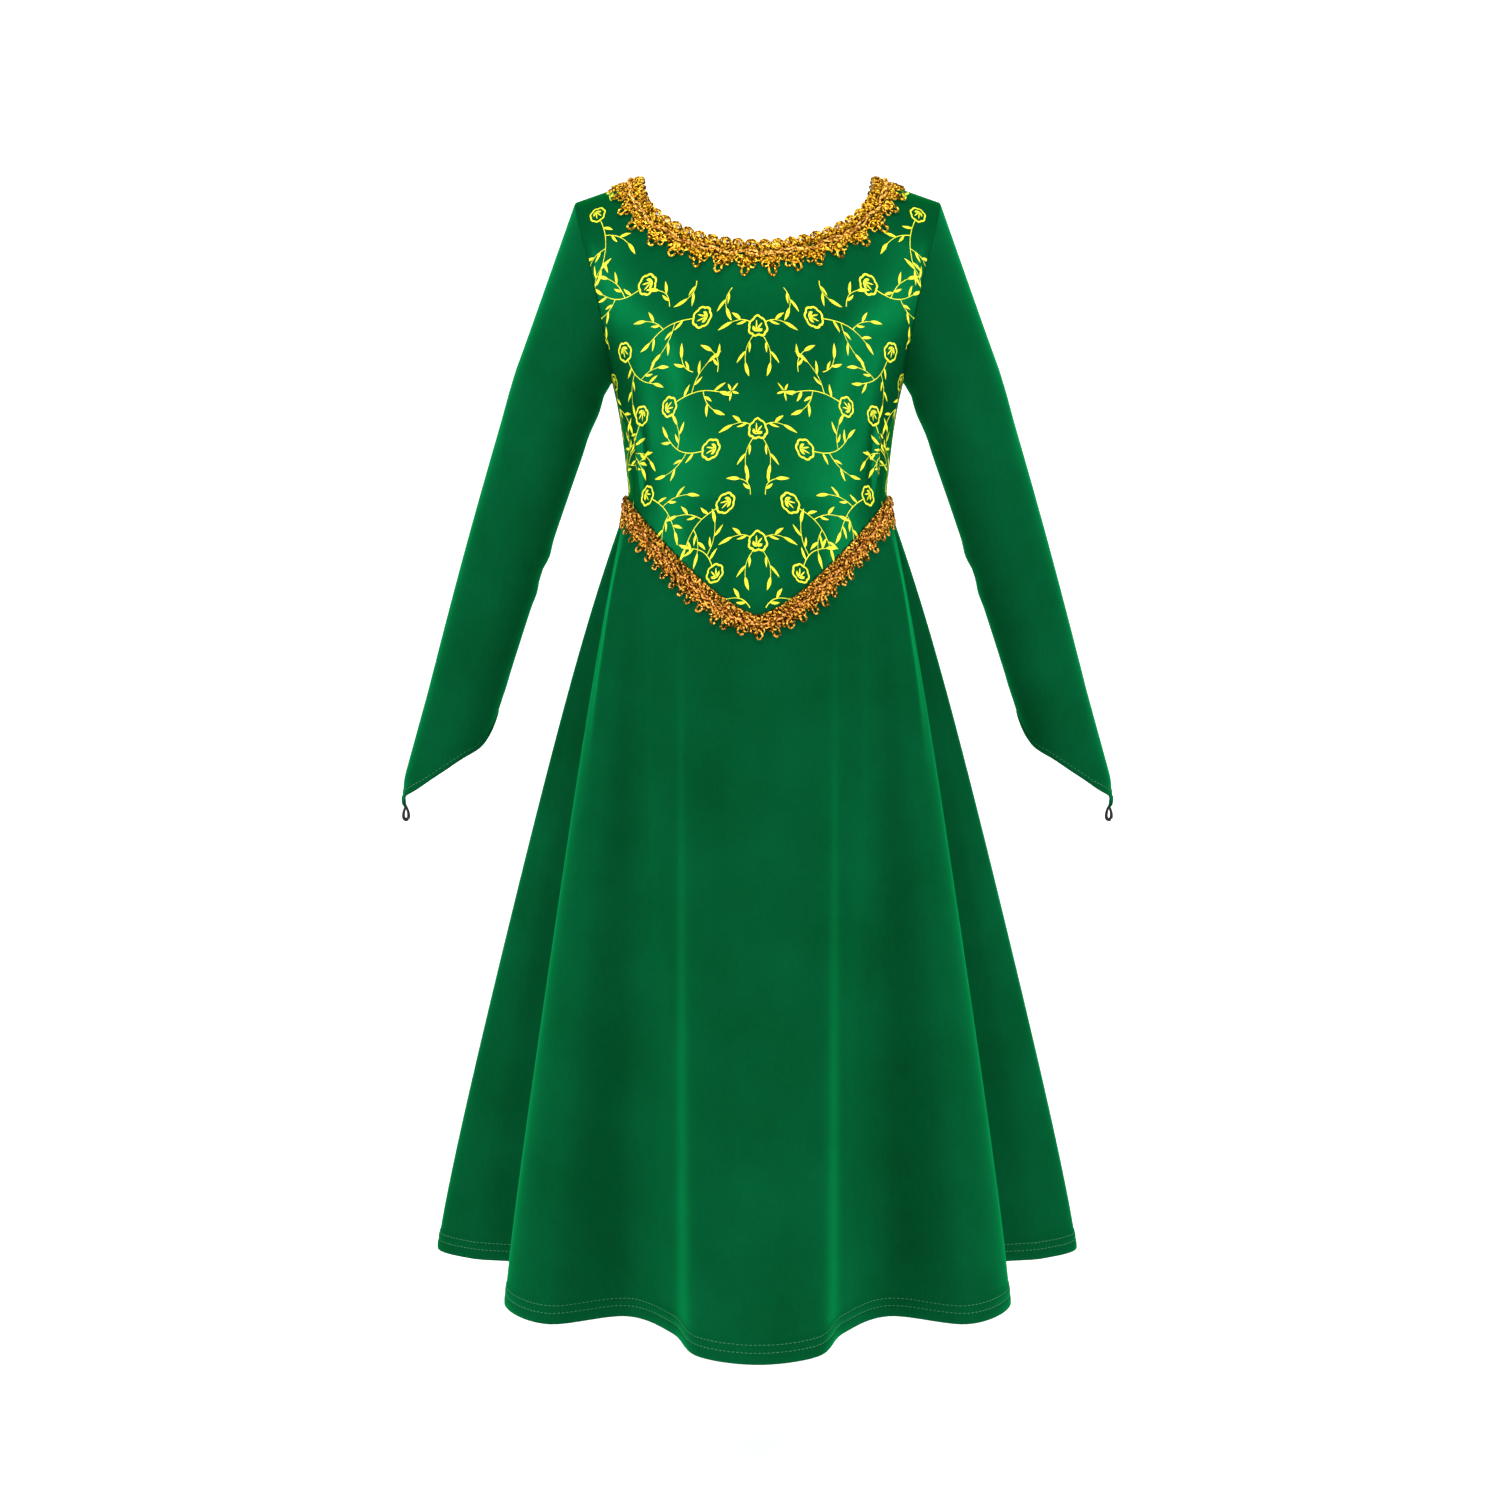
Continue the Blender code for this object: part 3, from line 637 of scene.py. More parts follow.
# Knitted stretch cloth: fine wales run down it and its nap makes it a little patchy
def stretchCloth(name, colours, surface, waleMm, bump):
    material, tree, shader = newMaterial(name, surface)
    place = addNode(tree, "ShaderNodeTexCoord").outputs["Object"]
    patches = addNode(tree, "ShaderNodeTexNoise", {"Scale": 1 / (60 * mm), "Detail": 3.0}, {"Vector": place})
    stretched = addNode(tree, "ShaderNodeMapping", {"Scale": (1, 1, 0.06)}, {"Vector": place})
    wales = addNode(tree, "ShaderNodeTexNoise", {"Scale": 1 / (waleMm * mm), "Detail": 2.0},
                    {"Vector": stretched.outputs["Vector"]})
    grain = addNode(tree, "ShaderNodeTexNoise", {"Scale": 1 / (waleMm * 0.7 * mm), "Detail": 2.0},
                    {"Vector": place})
    tone = addNode(tree, "ShaderNodeMix", {"data_type": "FLOAT", 0: 0.35},
                   {2: patches.outputs["Fac"], 3: wales.outputs["Fac"]})
    ramp = addNode(tree, "ShaderNodeValToRGB", None, {"Fac": tone.outputs[0]},
                   ((0.3, colours[0]), (0.7, colours[1])))
    tree.links.new(ramp.outputs["Color"], shader.inputs["Base Color"])
    relief = addNode(tree, "ShaderNodeMath", {"operation": "ADD"},
                     {0: wales.outputs["Fac"], 1: grain.outputs["Fac"]})
    bumped = addNode(tree, "ShaderNodeBump", {"Strength": bump, "Distance": 0.25 * mm},
                     {"Height": relief.outputs[0]})
    tree.links.new(bumped.outputs["Normal"], shader.inputs["Normal"])
    return material


# A cord with thread wound round it, with painted shade and a painted highlight: its colour ramp is painted
# dark between its turns and painted bright on top of them
def woundCordWithPaintedShade(name, colours, surface, wrapMm):
    material, tree, shader = newMaterial(name, surface)
    place = addNode(tree, "ShaderNodeTexCoord").outputs["Object"]
    wrapsAndPaintedShade = addNode(tree, "ShaderNodeTexNoise", {"Scale": 1 / (wrapMm * mm), "Detail": 1.0},
                    {"Vector": place})
    # Dark end of the ramp: painted shade between the turns. Bright end: painted highlight on them. The same
    # noise also bumps the turns.
    ramp = addNode(tree, "ShaderNodeValToRGB", None, {"Fac": wrapsAndPaintedShade.outputs["Fac"]},
                   ((0.38, colours[0]), (0.5, colours[1]), (0.62, colours[2])))
    tree.links.new(ramp.outputs["Color"], shader.inputs["Base Color"])
    bumped = addNode(tree, "ShaderNodeBump", {"Strength": 0.6, "Distance": 0.3 * mm},
                     {"Height": wrapsAndPaintedShade.outputs["Fac"]})
    tree.links.new(bumped.outputs["Normal"], shader.inputs["Normal"])
    return material


# A plain surface whose colour drifts a little from patch to patch
def mottled(name, surface, patchMm, detail, stops):
    material, tree, shader = newMaterial(name, surface)
    place = addNode(tree, "ShaderNodeTexCoord").outputs["Object"]
    patches = addNode(tree, "ShaderNodeTexNoise", {"Scale": 1 / (patchMm * mm), "Detail": detail},
                      {"Vector": place})
    ramp = addNode(tree, "ShaderNodeValToRGB", None, {"Fac": patches.outputs["Fac"]}, stops)
    tree.links.new(ramp.outputs["Color"], shader.inputs["Base Color"])
    return material


# The wales of both cloths are finer than this, too fine to show, so they are drawn 1.1 and 0.9 mm apart
# Stretch velvet: dark where it faces you, with a bright green nap where it turns away
stretchVelvet = stretchCloth("stretch velvet, knitted", ("#023519", "#034023"), {
    "Roughness": 0.6,
    "Specular IOR Level": 0.0,
    "Sheen Weight": 0.8,
    "Sheen Roughness": 0.4,
    "Sheen Tint": hexToLinear("#06a858"),
}, 1.1, 0.10)
# Stretch satin: the same green in smoother filament, which colours its highlights too
stretchSatin = stretchCloth("stretch satin, knitted", ("#024423", "#034f29"), {
    "Metallic": 0.55,
    "Roughness": 0.42,
    "Specular IOR Level": 0.0,
    "Specular Tint": hexToLinear("#20e08a"),
    "Sheen Weight": 0.12,
    "Sheen Roughness": 0.34,
    "Sheen Tint": hexToLinear("#06b058"),
}, 0.9, 0.06)
# Pigment ink, screen printed: opaque and a little chalky
printInk = mottled("pigment ink, screen printed", {"Roughness": 0.6, "Specular IOR Level": 0.3},
                   6, 3.0, ((0.35, "#b4bc16"), (0.6, "#ced228")))
# Gimp: metallised film wound round a core, whose own colour tints its highlights. The real turns
# are well under a millimetre apart, too fine to show, so they are drawn 1.7 mm apart.
# Of each gimp's three colours, the first is painted shade between the turns and the last is a painted
# highlight on them. The middle one is the cord's own colour.
goldGimp = woundCordWithPaintedShade("gold gimp, wound", ("#381a00", "#a06c06", "#f8c840"), {
    "Metallic": 0.65, "Roughness": 0.32, "Specular IOR Level": 0.0}, 1.7)
paleGimp = woundCordWithPaintedShade("pale gold gimp, wound", ("#74420c", "#be8630", "#f8c468"), {
    "Metallic": 0.5, "Roughness": 0.36, "Specular IOR Level": 0.0}, 1.7)
copperGimp = woundCordWithPaintedShade("copper gimp, wound", ("#281000", "#7e5008", "#f4b44c"), {
    "Metallic": 0.65, "Roughness": 0.34, "Specular IOR Level": 0.0}, 1.7)
palerCopper = woundCordWithPaintedShade("pale copper gimp, wound", ("#4a2408", "#a0621e", "#f4b460"), {
    "Metallic": 0.5, "Roughness": 0.38, "Specular IOR Level": 0.0}, 1.7)
# Rubber core covered in braided polyester: matt black with a dull edge
blackElastic = woundCordWithPaintedShade("braided elastic", ("#040405", "#08080a", "#141418"), {
    "Roughness": 0.55, "Specular IOR Level": 0.2}, 0.5)
# Spun polyester thread, a shade lighter than the cloth
sewingThread = mottled("spun polyester thread", {"Roughness": 0.5}, 2, 2.0, ((0, "#045830"), (1, "#087344")))
print("materials ready")


# Pieces
def finishPiece(name, points, faces, material, smoothed=True):
    mesh = bpy.data.meshes.new(name)
    mesh.from_pydata([tuple(p) for p in points], [], faces)
    mesh.validate()
    mesh.materials.append(material)
    if smoothed:
        mesh.shade_smooth()
        mesh.set_sharp_from_angle(angle=math.radians(50))
    piece = bpy.data.objects.new(name, mesh)
    scene.collection.objects.link(piece)
    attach(piece, "root")
    return piece


def seamPull(faces):
    own, sums, counts = set(faces), {}, {}
    for face in faces:
        middle = face.calc_center_median()
        for edge in face.edges:
            if len(edge.link_faces) != 2 or all(f in own for f in edge.link_faces):
                continue
            run = (edge.verts[1].co - edge.verts[0].co).normalized()
            inward = middle - edge.verts[0].co
            inward = (inward - run * inward.dot(run)).normalized()
            for vert in edge.verts:
                sums[vert] = sums.get(vert, Vector()) + inward
                counts[vert] = counts.get(vert, 0) + 1
    half = cloth["seamGap"] / 2
    return {v: s * (half * counts[v] / max(s.length_squared, 0.5)) for v, s in sums.items()}


def makePanel(number, material):
    faces = [f for f in gown.faces if f.material_index == number]
    pull = seamPull(faces)
    index, outer, inner = {}, [], []
    for face in faces:
        for vert in face.verts:
            if vert not in index:
                index[vert] = len(index)
                base = vert.co + pull.get(vert, Vector())
                outer.append(base)
                inner.append(base - vert.normal * cloth["wall"])
    count = len(outer)
    made, own = [], set(faces)
    for face in faces:
        loop = [index[v] for v in face.verts]
        made.append(loop)
        made.append([k + count for k in reversed(loop)])
        for corner in face.loops:
            if sum(f in own for f in corner.edge.link_faces) == 1:
                a, b = index[corner.vert], index[corner.link_loop_next.vert]
                made.append([b, a, a + count, b + count])
    name = panels[number]
    piece = finishPiece(name + "_cloth", outer + inner, made, material)
    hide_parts(name)
    area = sum(face.calc_area() for face in faces)
    print(name, len(made), "faces,", round(area, 4), "m2 of cloth")
    return piece


for number, name in enumerate(panels):
    printed = name == "bodice_front"
    makePanel(number, stretchSatin if printed else stretchVelvet)


# Points and faces of one piece, added bit by bit
class Pile:
    def __init__(self):
        self.points = []
        self.faces = []

    def tube(self, line, radius, sides, closed=False, twist=0.0):
        count = len(line)
        radii = radius if isinstance(radius, list) else [radius] * count
        start = len(self.points)
        for k, middle in enumerate(line):
            before = line[k - 1] if closed or k else middle
            after = line[(k + 1) % count] if closed or k < count - 1 else middle
            run = (after - before).normalized()
            guide = Vector((0, 0, 1)) if abs(run.z) < 0.8 else Vector((1, 0, 0))
            first = run.cross(guide).normalized()
            second = run.cross(first)
            for s in range(sides):
                turn = 2 * math.pi * s / sides + twist * k
                self.points.append(middle + (first * math.cos(turn) + second * math.sin(turn)) * radii[k])
        for k in range(count if closed else count - 1):
            here, there = start + k * sides, start + (k + 1) % count * sides
            for s in range(sides):
                t = (s + 1) % sides
                self.faces.append([here + s, there + s, there + t, here + t])
        if not closed:
            last = start + (count - 1) * sides
            self.faces.append([start + s for s in range(sides)])
            self.faces.append([last + s for s in reversed(range(sides))])

    # One stitch: a short thread that dives into the cloth at both ends
    def stitch(self, start, end, out, radius):
        run = (end - start).normalized()
        side = run.cross(out).normalized()
        base = len(self.points)
        self.points += [start - out * radius * 0.5, end - out * radius * 0.5]
        for share in (0.25, 0.75):
            middle = start.lerp(end, share)
            self.points += [middle + side * radius, middle + out * radius, middle - side * radius]
        a, b = base + 2, base + 5
        self.faces += [[base, a + 1, a], [base, a + 2, a + 1]]
        self.faces += [[a, a + 1, b + 1, b], [a + 1, a + 2, b + 2, b + 1]]
        self.faces += [[base + 1, b, b + 1], [base + 1, b + 1, b + 2]]


# Stitches of the hems
stitches = {
    "long": 2.4 * mm,
    "gap": 0.9 * mm,
    "radius": 0.28 * mm,
}


def stitchRow(pile, line):
    points = line + [line[0]]
    run = runOf(points)
    pitch = stitches["long"] + stitches["gap"]
    count = int(run[-1] / pitch)
    for k in range(count):
        at = run[-1] * k / count
        ends = []
        for hole in (at, at + stitches["long"]):
            place, normal, _, _ = gownTree.find_nearest(alongRun(run, points, min(hole, run[-1])))
            ends.append(place + normal * stitches["radius"] * 0.6)
        pile.stitch(ends[0], ends[1], normal, stitches["radius"])


def hemLineAt(above):
    half = [gownPoint(p.x, skirt["hemZ"] + above) for p in hem[::3]]
    return half + mirrored(half[-2:0:-1])


def cuffLineAt(above, side):
    turns = [5 * k for k in range(37)]
    front = [sleevePoint(cuffReach(t) - above, t, 1) for t in turns]
    rear = [sleevePoint(cuffReach(t) - above, t, -1) for t in turns]
    return [Vector((side * p.x, p.y, p.z)) for p in front + rear[-2:0:-1]]


hemPile = Pile()
for hemLine in skirtHemLines:
    if hemLine.name in ("upper stitches", "lower stitches"):
        stitchRow(hemPile, hemLineAt(hemLine.above))
hemStitches = finishPiece("hem_stitches", hemPile.points, hemPile.faces, sewingThread)
for side, word in ((1, "left"), (-1, "right")):
    cuffPile = Pile()
    for hemLine in cuffHemLines:
        if hemLine.name == "stitches":
            stitchRow(cuffPile, cuffLineAt(hemLine.above, side))
    finishPiece("cuff_stitches_" + word, cuffPile.points, cuffPile.faces,
                                     sewingThread)
print("hems stitched")


# What both laces share. A height without a unit is in radii of the cord.
lace = {
    "bedStep": 2 * mm,        # how often the cloth under a lace is read
    "bedReach": 8,            # steps to either side over which its direction is taken
    "bedSoften": 2,           # rows up and down over which its normal is taken
    "sides": 5,               # of a cord
    "cordStep": 0.9 * mm,
    "cordSpare": 1.25,        # how much more cord than lace
    "ringSteps": 12,
    "tieAlong": 3.2 * mm,     # half the reach of the tie over a knot
    "tieDown": 3.4 * mm,
    # waves for each of the plan's, their phase, how far down, and how wide for the plan's width
    "sweeps": ((1, 0.0, 0, 1.0), (1.5, 1.9, 0.7 * mm, 0.8)),
    # how far down, the wave's form and length, and its height
    "fills": ((1.9 * mm, math.sin, 1.3 * mm, 1.8), (-0.6 * mm, math.cos, 1.5 * mm, 1.4)),
    "hubs": ((1.0, 1.4), (0.5, 2.6)),    # how wide for the plan's hub, and how high
    "dropFrom": 0.5 * mm,     # below the hub
    "filletFrom": 3.4 * mm,   # above the hub
}


# The cloth under a lace: along, across and height above it turn into a place
class LaceBed:
    def __init__(self, path, closed, start, width):
        self.closed = closed
        line = path + [path[0]] if closed else path
        run = runOf(line)
        self.length = run[-1]
        count = round(self.length / lace["bedStep"])
        self.step = self.length / count
        places = [alongRun(run, line, self.step * k) for k in range(count + (0 if closed else 1))]
        self.columns = []
        reach = lace["bedReach"]
        for k, point in enumerate(places):
            before = places[k - reach] if closed or k > reach else places[0]
            after = places[(k + reach) % len(places)] if closed or k + reach < len(places) else places[-1]
            run = (after - before).normalized()
            place, normal, _, _ = gownTree.find_nearest(point)
            side = run.cross(normal).normalized()
            column = []
            for row in range(math.ceil((width - start) / self.step) + 3):
                down = start + row * self.step
                if down <= 0:
                    place = point + side * down      # above a free edge it stands on its own
                    if not closed:
                        place, normal, _, _ = gownTree.find_nearest(place)
                else:
                    step = min(self.step, down)
                    above = point if step < self.step else place
                    place, normal, _, _ = gownTree.find_nearest(above + side * step)
                side = run.cross(normal).normalized()
                column.append((place, normal))
            self.columns.append(self.softened(column))

    # The dip of the seam doesn't reach the lace
    def softened(self, column):
        rows = lace["bedSoften"]
        soft = []
        for row, (place, _) in enumerate(column):
            near = column[max(row - rows, 0):row + rows + 1]
            soft.append((place, sum((normal for _, normal in near), Vector()).normalized()))
        return soft

    def at(self, s, w, height):
        s = s % self.length if self.closed else min(max(s, 0), self.length)
        k = int(s / self.step)
        share = s / self.step - k
        count = len(self.columns)
        here = self.columns[k % count]
        there = self.columns[(k + 1) % count] if self.closed or k + 1 < count else here
        w = max(w / self.step, 0)
        row = min(int(w), len(here) - 2)
        out = w - row
        points = [c[row][0].lerp(c[row + 1][0], out) for c in (here, there)]
        normals = [c[row][1].lerp(c[row + 1][1], out) for c in (here, there)]
        return points[0].lerp(points[1], share) + normals[0].lerp(normals[1], share).normalized() * height


def neckPath():
    steps = 60
    front = [gownPoint(*neckEdge(90 * k / steps, False)) for k in range(steps + 1)]
    back = [gownPoint(*neckEdge(90 * k / steps, True)) for k in range(steps + 1)]
    return front[:-1] + back[:0:-1] + mirrored(back[:-1]) + mirrored(front[:0:-1])


def waistPath():
    steps = 60
    half = [gownPoint(89 * k / steps, waistSeam(89 * k / steps)) for k in range(steps + 1)]
    return mirrored(half[:0:-1]) + half


# A teardrop loop of cord that starts and ends at (s, w) and points along heading
def petal(bed, s, w, heading, length, width, height, steps):
    line = []
    for k in range(steps + 1):
        turn = 2 * math.pi * k / steps
        out = (1 - math.cos(turn)) / 2 * length
        off = math.sin(turn) * width / 2 * (0.35 + 0.65 * (1 - math.cos(turn)) / 2) * 1.25
        ds = out * math.sin(heading) + off * math.cos(heading)
        dw = out * math.cos(heading) - off * math.sin(heading)
        line.append(bed.at(s + ds, w + dw, height + 0.5 * mm * math.sin(turn / 2)))
    return line


def ringLine(bed, s, w, wide, deep, height, turned):
    line = []
    for k in range(lace["ringSteps"]):
        turn = 2 * math.pi * k / lace["ringSteps"] + turned
        line.append(bed.at(s + wide * math.cos(turn), w + deep * math.sin(turn), height))
    return line


# A row of domed knots, pale cords swept along under them, and clover fans with a long drop each
def makeLace(bed, plan, tones, name, node, seed):
    random = Random(seed)
    main, pale = Pile(), Pile()
    radius = plan["cord"]

    def run(pile, path, thick):
        count = round(bed.length * lace["cordSpare"] / lace["cordStep"])
        total = count if bed.closed else count + 1
        line = [bed.at(bed.length * k / count, *path(bed.length * k / count)) for k in range(total)]
        pile.tube(line, thick, lace["sides"], closed=bed.closed, twist=0.7)

    def ring(s, w, wide, deep, height, turned):
        line = ringLine(bed, s, w, wide, deep, radius * height, turned)
        main.tube(line, radius * 0.95, lace["sides"], closed=True, twist=0.9)

    # knots: coils that climb to the middle, tied to each other by two crossing cords
    knots = round(bed.length / plan["knotPitch"])
    pitch = bed.length / knots
    for k in range(knots):
        middle = pitch * (k + 0.5) + random.uniform(-0.25, 0.25) * mm
        for size, height in plan["coils"]:
            reach = plan["knotHalf"] * size
            ring(middle, plan["knotAt"], reach * 1.08, reach, height, k)
        slant = []
        for t in (-1, -0.5, 0, 0.5, 1):
            slant.append(bed.at(middle + t * lace["tieAlong"], plan["knotAt"] + t * lace["tieDown"],
                                radius * (4.2 - 1.4 * t * t)))
        main.tube(slant, radius * 0.85, lace["sides"], twist=0.8)
    for phase in (0, math.pi):
        def weave(s):
            turn = math.pi * s / pitch + phase
            down = plan["knotAt"] + math.sin(turn) * plan["knotHalf"] * 0.78
            return down, radius * (1.8 + math.cos(turn))
        run(main, weave, radius)

    # pale cords: one long wave over the knots' feet and a shorter one that crosses it
    sweeps = max(1, round(bed.length / plan["sweepPitch"]))
    for ratio, phase, at, half in lace["sweeps"]:
        waves = round(sweeps * ratio)

        def sweep(s):
            turn = 2 * math.pi * waves * s / bed.length + phase
            small = 0.35 * mm * math.sin(2 * math.pi * knots * s / bed.length)
            down = plan["sweepAt"] + at + plan["sweepHalf"] * half * math.sin(turn) + small
            return down, radius * (4.3 + 0.9 * math.cos(turn))
        run(pale, sweep, radius * 1.15)

    # and two finely waved cords that fill the gaps behind them
    for at, wave, length, height in lace["fills"]:
        def fill(s):
            return plan["sweepAt"] + at + 0.8 * mm * wave(s / length), radius * height
        run(main, fill, radius)

    # fans: small loops all round a hub, filled in behind, and the drop that hangs past them
    fans = round(bed.length / plan["fanPitch"] / 2) * 2 + 1
    pitch = bed.length / fans
    hub, drops = plan["hubAt"], plan["hubAt"] + lace["dropFrom"]

    def loopOfCord(s, w, heading, long, wide, height, thick, steps, sides=lace["sides"]):
        line = petal(bed, s, w, heading, long, wide, radius * height, steps)
        main.tube(line, radius * thick, sides, twist=0.8)

    for k in range(fans):
        middle = pitch * (k + 0.5) + random.uniform(-0.5, 0.5) * mm
        for size, height in lace["hubs"]:
            reach = plan["hub"] * size
            ring(middle, hub, reach, reach, height, k)
        for turn, long, wide in plan["lobes"]:
            heading = math.radians(turn + random.uniform(-6, 6))
            long *= random.uniform(0.9, 1.1)
            height = random.uniform(1.3, 2.6)
            for size in (1.0, 0.52):
                loopOfCord(middle, hub, heading, long * size, wide * size, height, 0.92, 11)
        drop = plan["drop"] * random.uniform(0.84, 1.12)
        lean = math.radians(random.uniform(-15, 15))
        loopOfCord(middle, drops, lean, drop, plan["dropWide"], 2.4, 1.2, 16, 6)
        loopOfCord(middle, drops, lean, drop * 0.45, plan["dropWide"] * 0.5, 3.0, 0.9, 9)
        for turn in (-26, 26):
            loopOfCord(middle + pitch / 2, hub - lace["filletFrom"], math.radians(turn), plan["drop"] * 0.46,
                       plan["dropWide"] * 0.7, 1.5, 0.9, 9)

    shift = len(main.points)
    faces = main.faces + [[i + shift for i in face] for face in pale.faces]
    piece = finishPiece(name, main.points + pale.points, faces, tones[0], smoothed=False)
    piece.data.materials.append(tones[1])
    for polygon in list(piece.data.polygons)[len(main.faces):]:
        polygon.material_index = 1
    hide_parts(node)
    print(name, len(faces), "faces", fans, "fans", round(bed.length, 3), "m long")


# Each lobe of a fan: which way it points in degrees, its length and its width
neckLacePlan = {
    "cord": 0.70 * mm,        # its radius
    "knotPitch": 9.8 * mm,
    "knotAt": 5.0 * mm,       # across the lace, from its top edge
    "coils": ((1.0, 1.1), (0.74, 2.3), (0.46, 3.4), (0.18, 4.0)),     # how wide, and how high in radii
    "knotHalf": 4.5 * mm,
    "sweepAt": 10.6 * mm,
    "sweepHalf": 1.5 * mm,
    "sweepPitch": 30 * mm,
    "fanPitch": 16.5 * mm,
    "hubAt": 15.8 * mm,
    "hub": 2.1 * mm,
    "lobes": ((-84, 7.0 * mm, 4.4 * mm), (84, 7.0 * mm, 4.4 * mm),
              (-46, 7.6 * mm, 4.6 * mm), (46, 7.6 * mm, 4.6 * mm)),
    "drop": 10.6 * mm,
    "dropWide": 4.8 * mm,
}
waistLacePlan = {
    "cord": 0.70 * mm,        # its radius
    "knotPitch": 8.6 * mm,
    "knotAt": 4.3 * mm,
    "coils": ((1.0, 1.0), (0.62, 3.0), (0.24, 4.8)),
    "knotHalf": 3.8 * mm,
    "sweepAt": 8.8 * mm,
    "sweepHalf": 1.3 * mm,
    "sweepPitch": 19 * mm,
    "fanPitch": 11.2 * mm,
    "hubAt": 12.8 * mm,
    "hub": 1.8 * mm,
    "lobes": ((-84, 5.4 * mm, 3.6 * mm), (84, 5.4 * mm, 3.6 * mm),
              (-44, 6.0 * mm, 3.6 * mm), (44, 6.0 * mm, 3.6 * mm)),
    "drop": 9.0 * mm,
    "dropWide": 4.2 * mm,
}
neckBed = LaceBed(neckPath(), True, -4.5 * mm, 26.5 * mm)
makeLace(neckBed, neckLacePlan, (goldGimp, paleGimp), "neck_lace", "neck_trim", 4)
waistBed = LaceBed(waistPath(), False, -9 * mm, 21.5 * mm)
makeLace(waistBed, waistLacePlan, (copperGimp, palerCopper), "waist_lace", "waist_trim", 9)

# Print: a generic climbing rose, laid out in rows that lean to and from the centre
frontPoints = [tuple(v.co) for v in gown.verts]
frontFaces = [[v.index for v in f.verts] for f in gown.faces if f.material_index == 0]
frontTree = BVHTree.FromPolygons(frontPoints, frontFaces)
printPlan = {
    "stroke": 0.66 * mm,
    "leafLong": 11.4 * mm,
    "leafWide": 2.4 * mm,
    "rose": 8.2 * mm,
    "lift": 0.16 * mm,
    "step": 1.4 * mm,
    "shoots": ((9, 0.024), (15, 0.019)),    # which point of the stem they leave, and their length
}
# Parts of a rose, as shares of its radius, and half the width of each line
rosePlan = {
    "ringPoints": 56,
    "ring": 0.80,
    "scallop": 0.10,
    "scallops": 7,
    "ringHalf": 0.72 * mm,
    "foot": 0.47,
    "petals": (-50, -17, 17, 50),    # which way they open, in degrees
    "petalLong": 0.98,
    "petalEnds": 0.10 * mm,
    "petalHalf": 0.48 * mm,
    "cup": 0.50,
    "cupHalf": 0.38 * mm,
}
arcGrid = {
    "way": 0.01,              # metres down
    "ways": 42,
    "angle": 3,               # degrees
    "angles": 32,
}


# Turns a distance round the body from the centre line into its angle, at each way down
class ArcMap:
    def __init__(self):
        self.angles = [arcGrid["angle"] * k for k in range(arcGrid["angles"])]
        self.runs = []
        for k in range(arcGrid["ways"]):
            line = [gownPoint(*fromChart((angle, arcGrid["way"] * k))) for angle in self.angles]
            self.runs.append(runOf(line))

    def angle(self, u, way):
        k = min(int(way / arcGrid["way"]), len(self.runs) - 2)
        share = way / arcGrid["way"] - k
        low = alongRun(self.runs[k], self.angles, u)
        high = alongRun(self.runs[k + 1], self.angles, u)
        return low + (high - low) * share


arcMap = ArcMap()


# u metres from the centre line round the body, v metres down from the shoulder line. A little
# past the side seam is far enough: what lies off the front bodice isn't kept.
def printPlace(u, v):
    angle, z = fromChart((arcMap.angle(abs(u), max(v, 0.002)), max(v, 0.002)))
    point = gownPoint(min(angle, 92), z)
    if u < 0:
        point.x = -point.x
    place, normal, _, _ = frontTree.find_nearest(point)
    off = point - place
    aside = (off - normal * off.dot(normal)).length
    return place + normal * printPlan["lift"], aside < 0.5 * mm


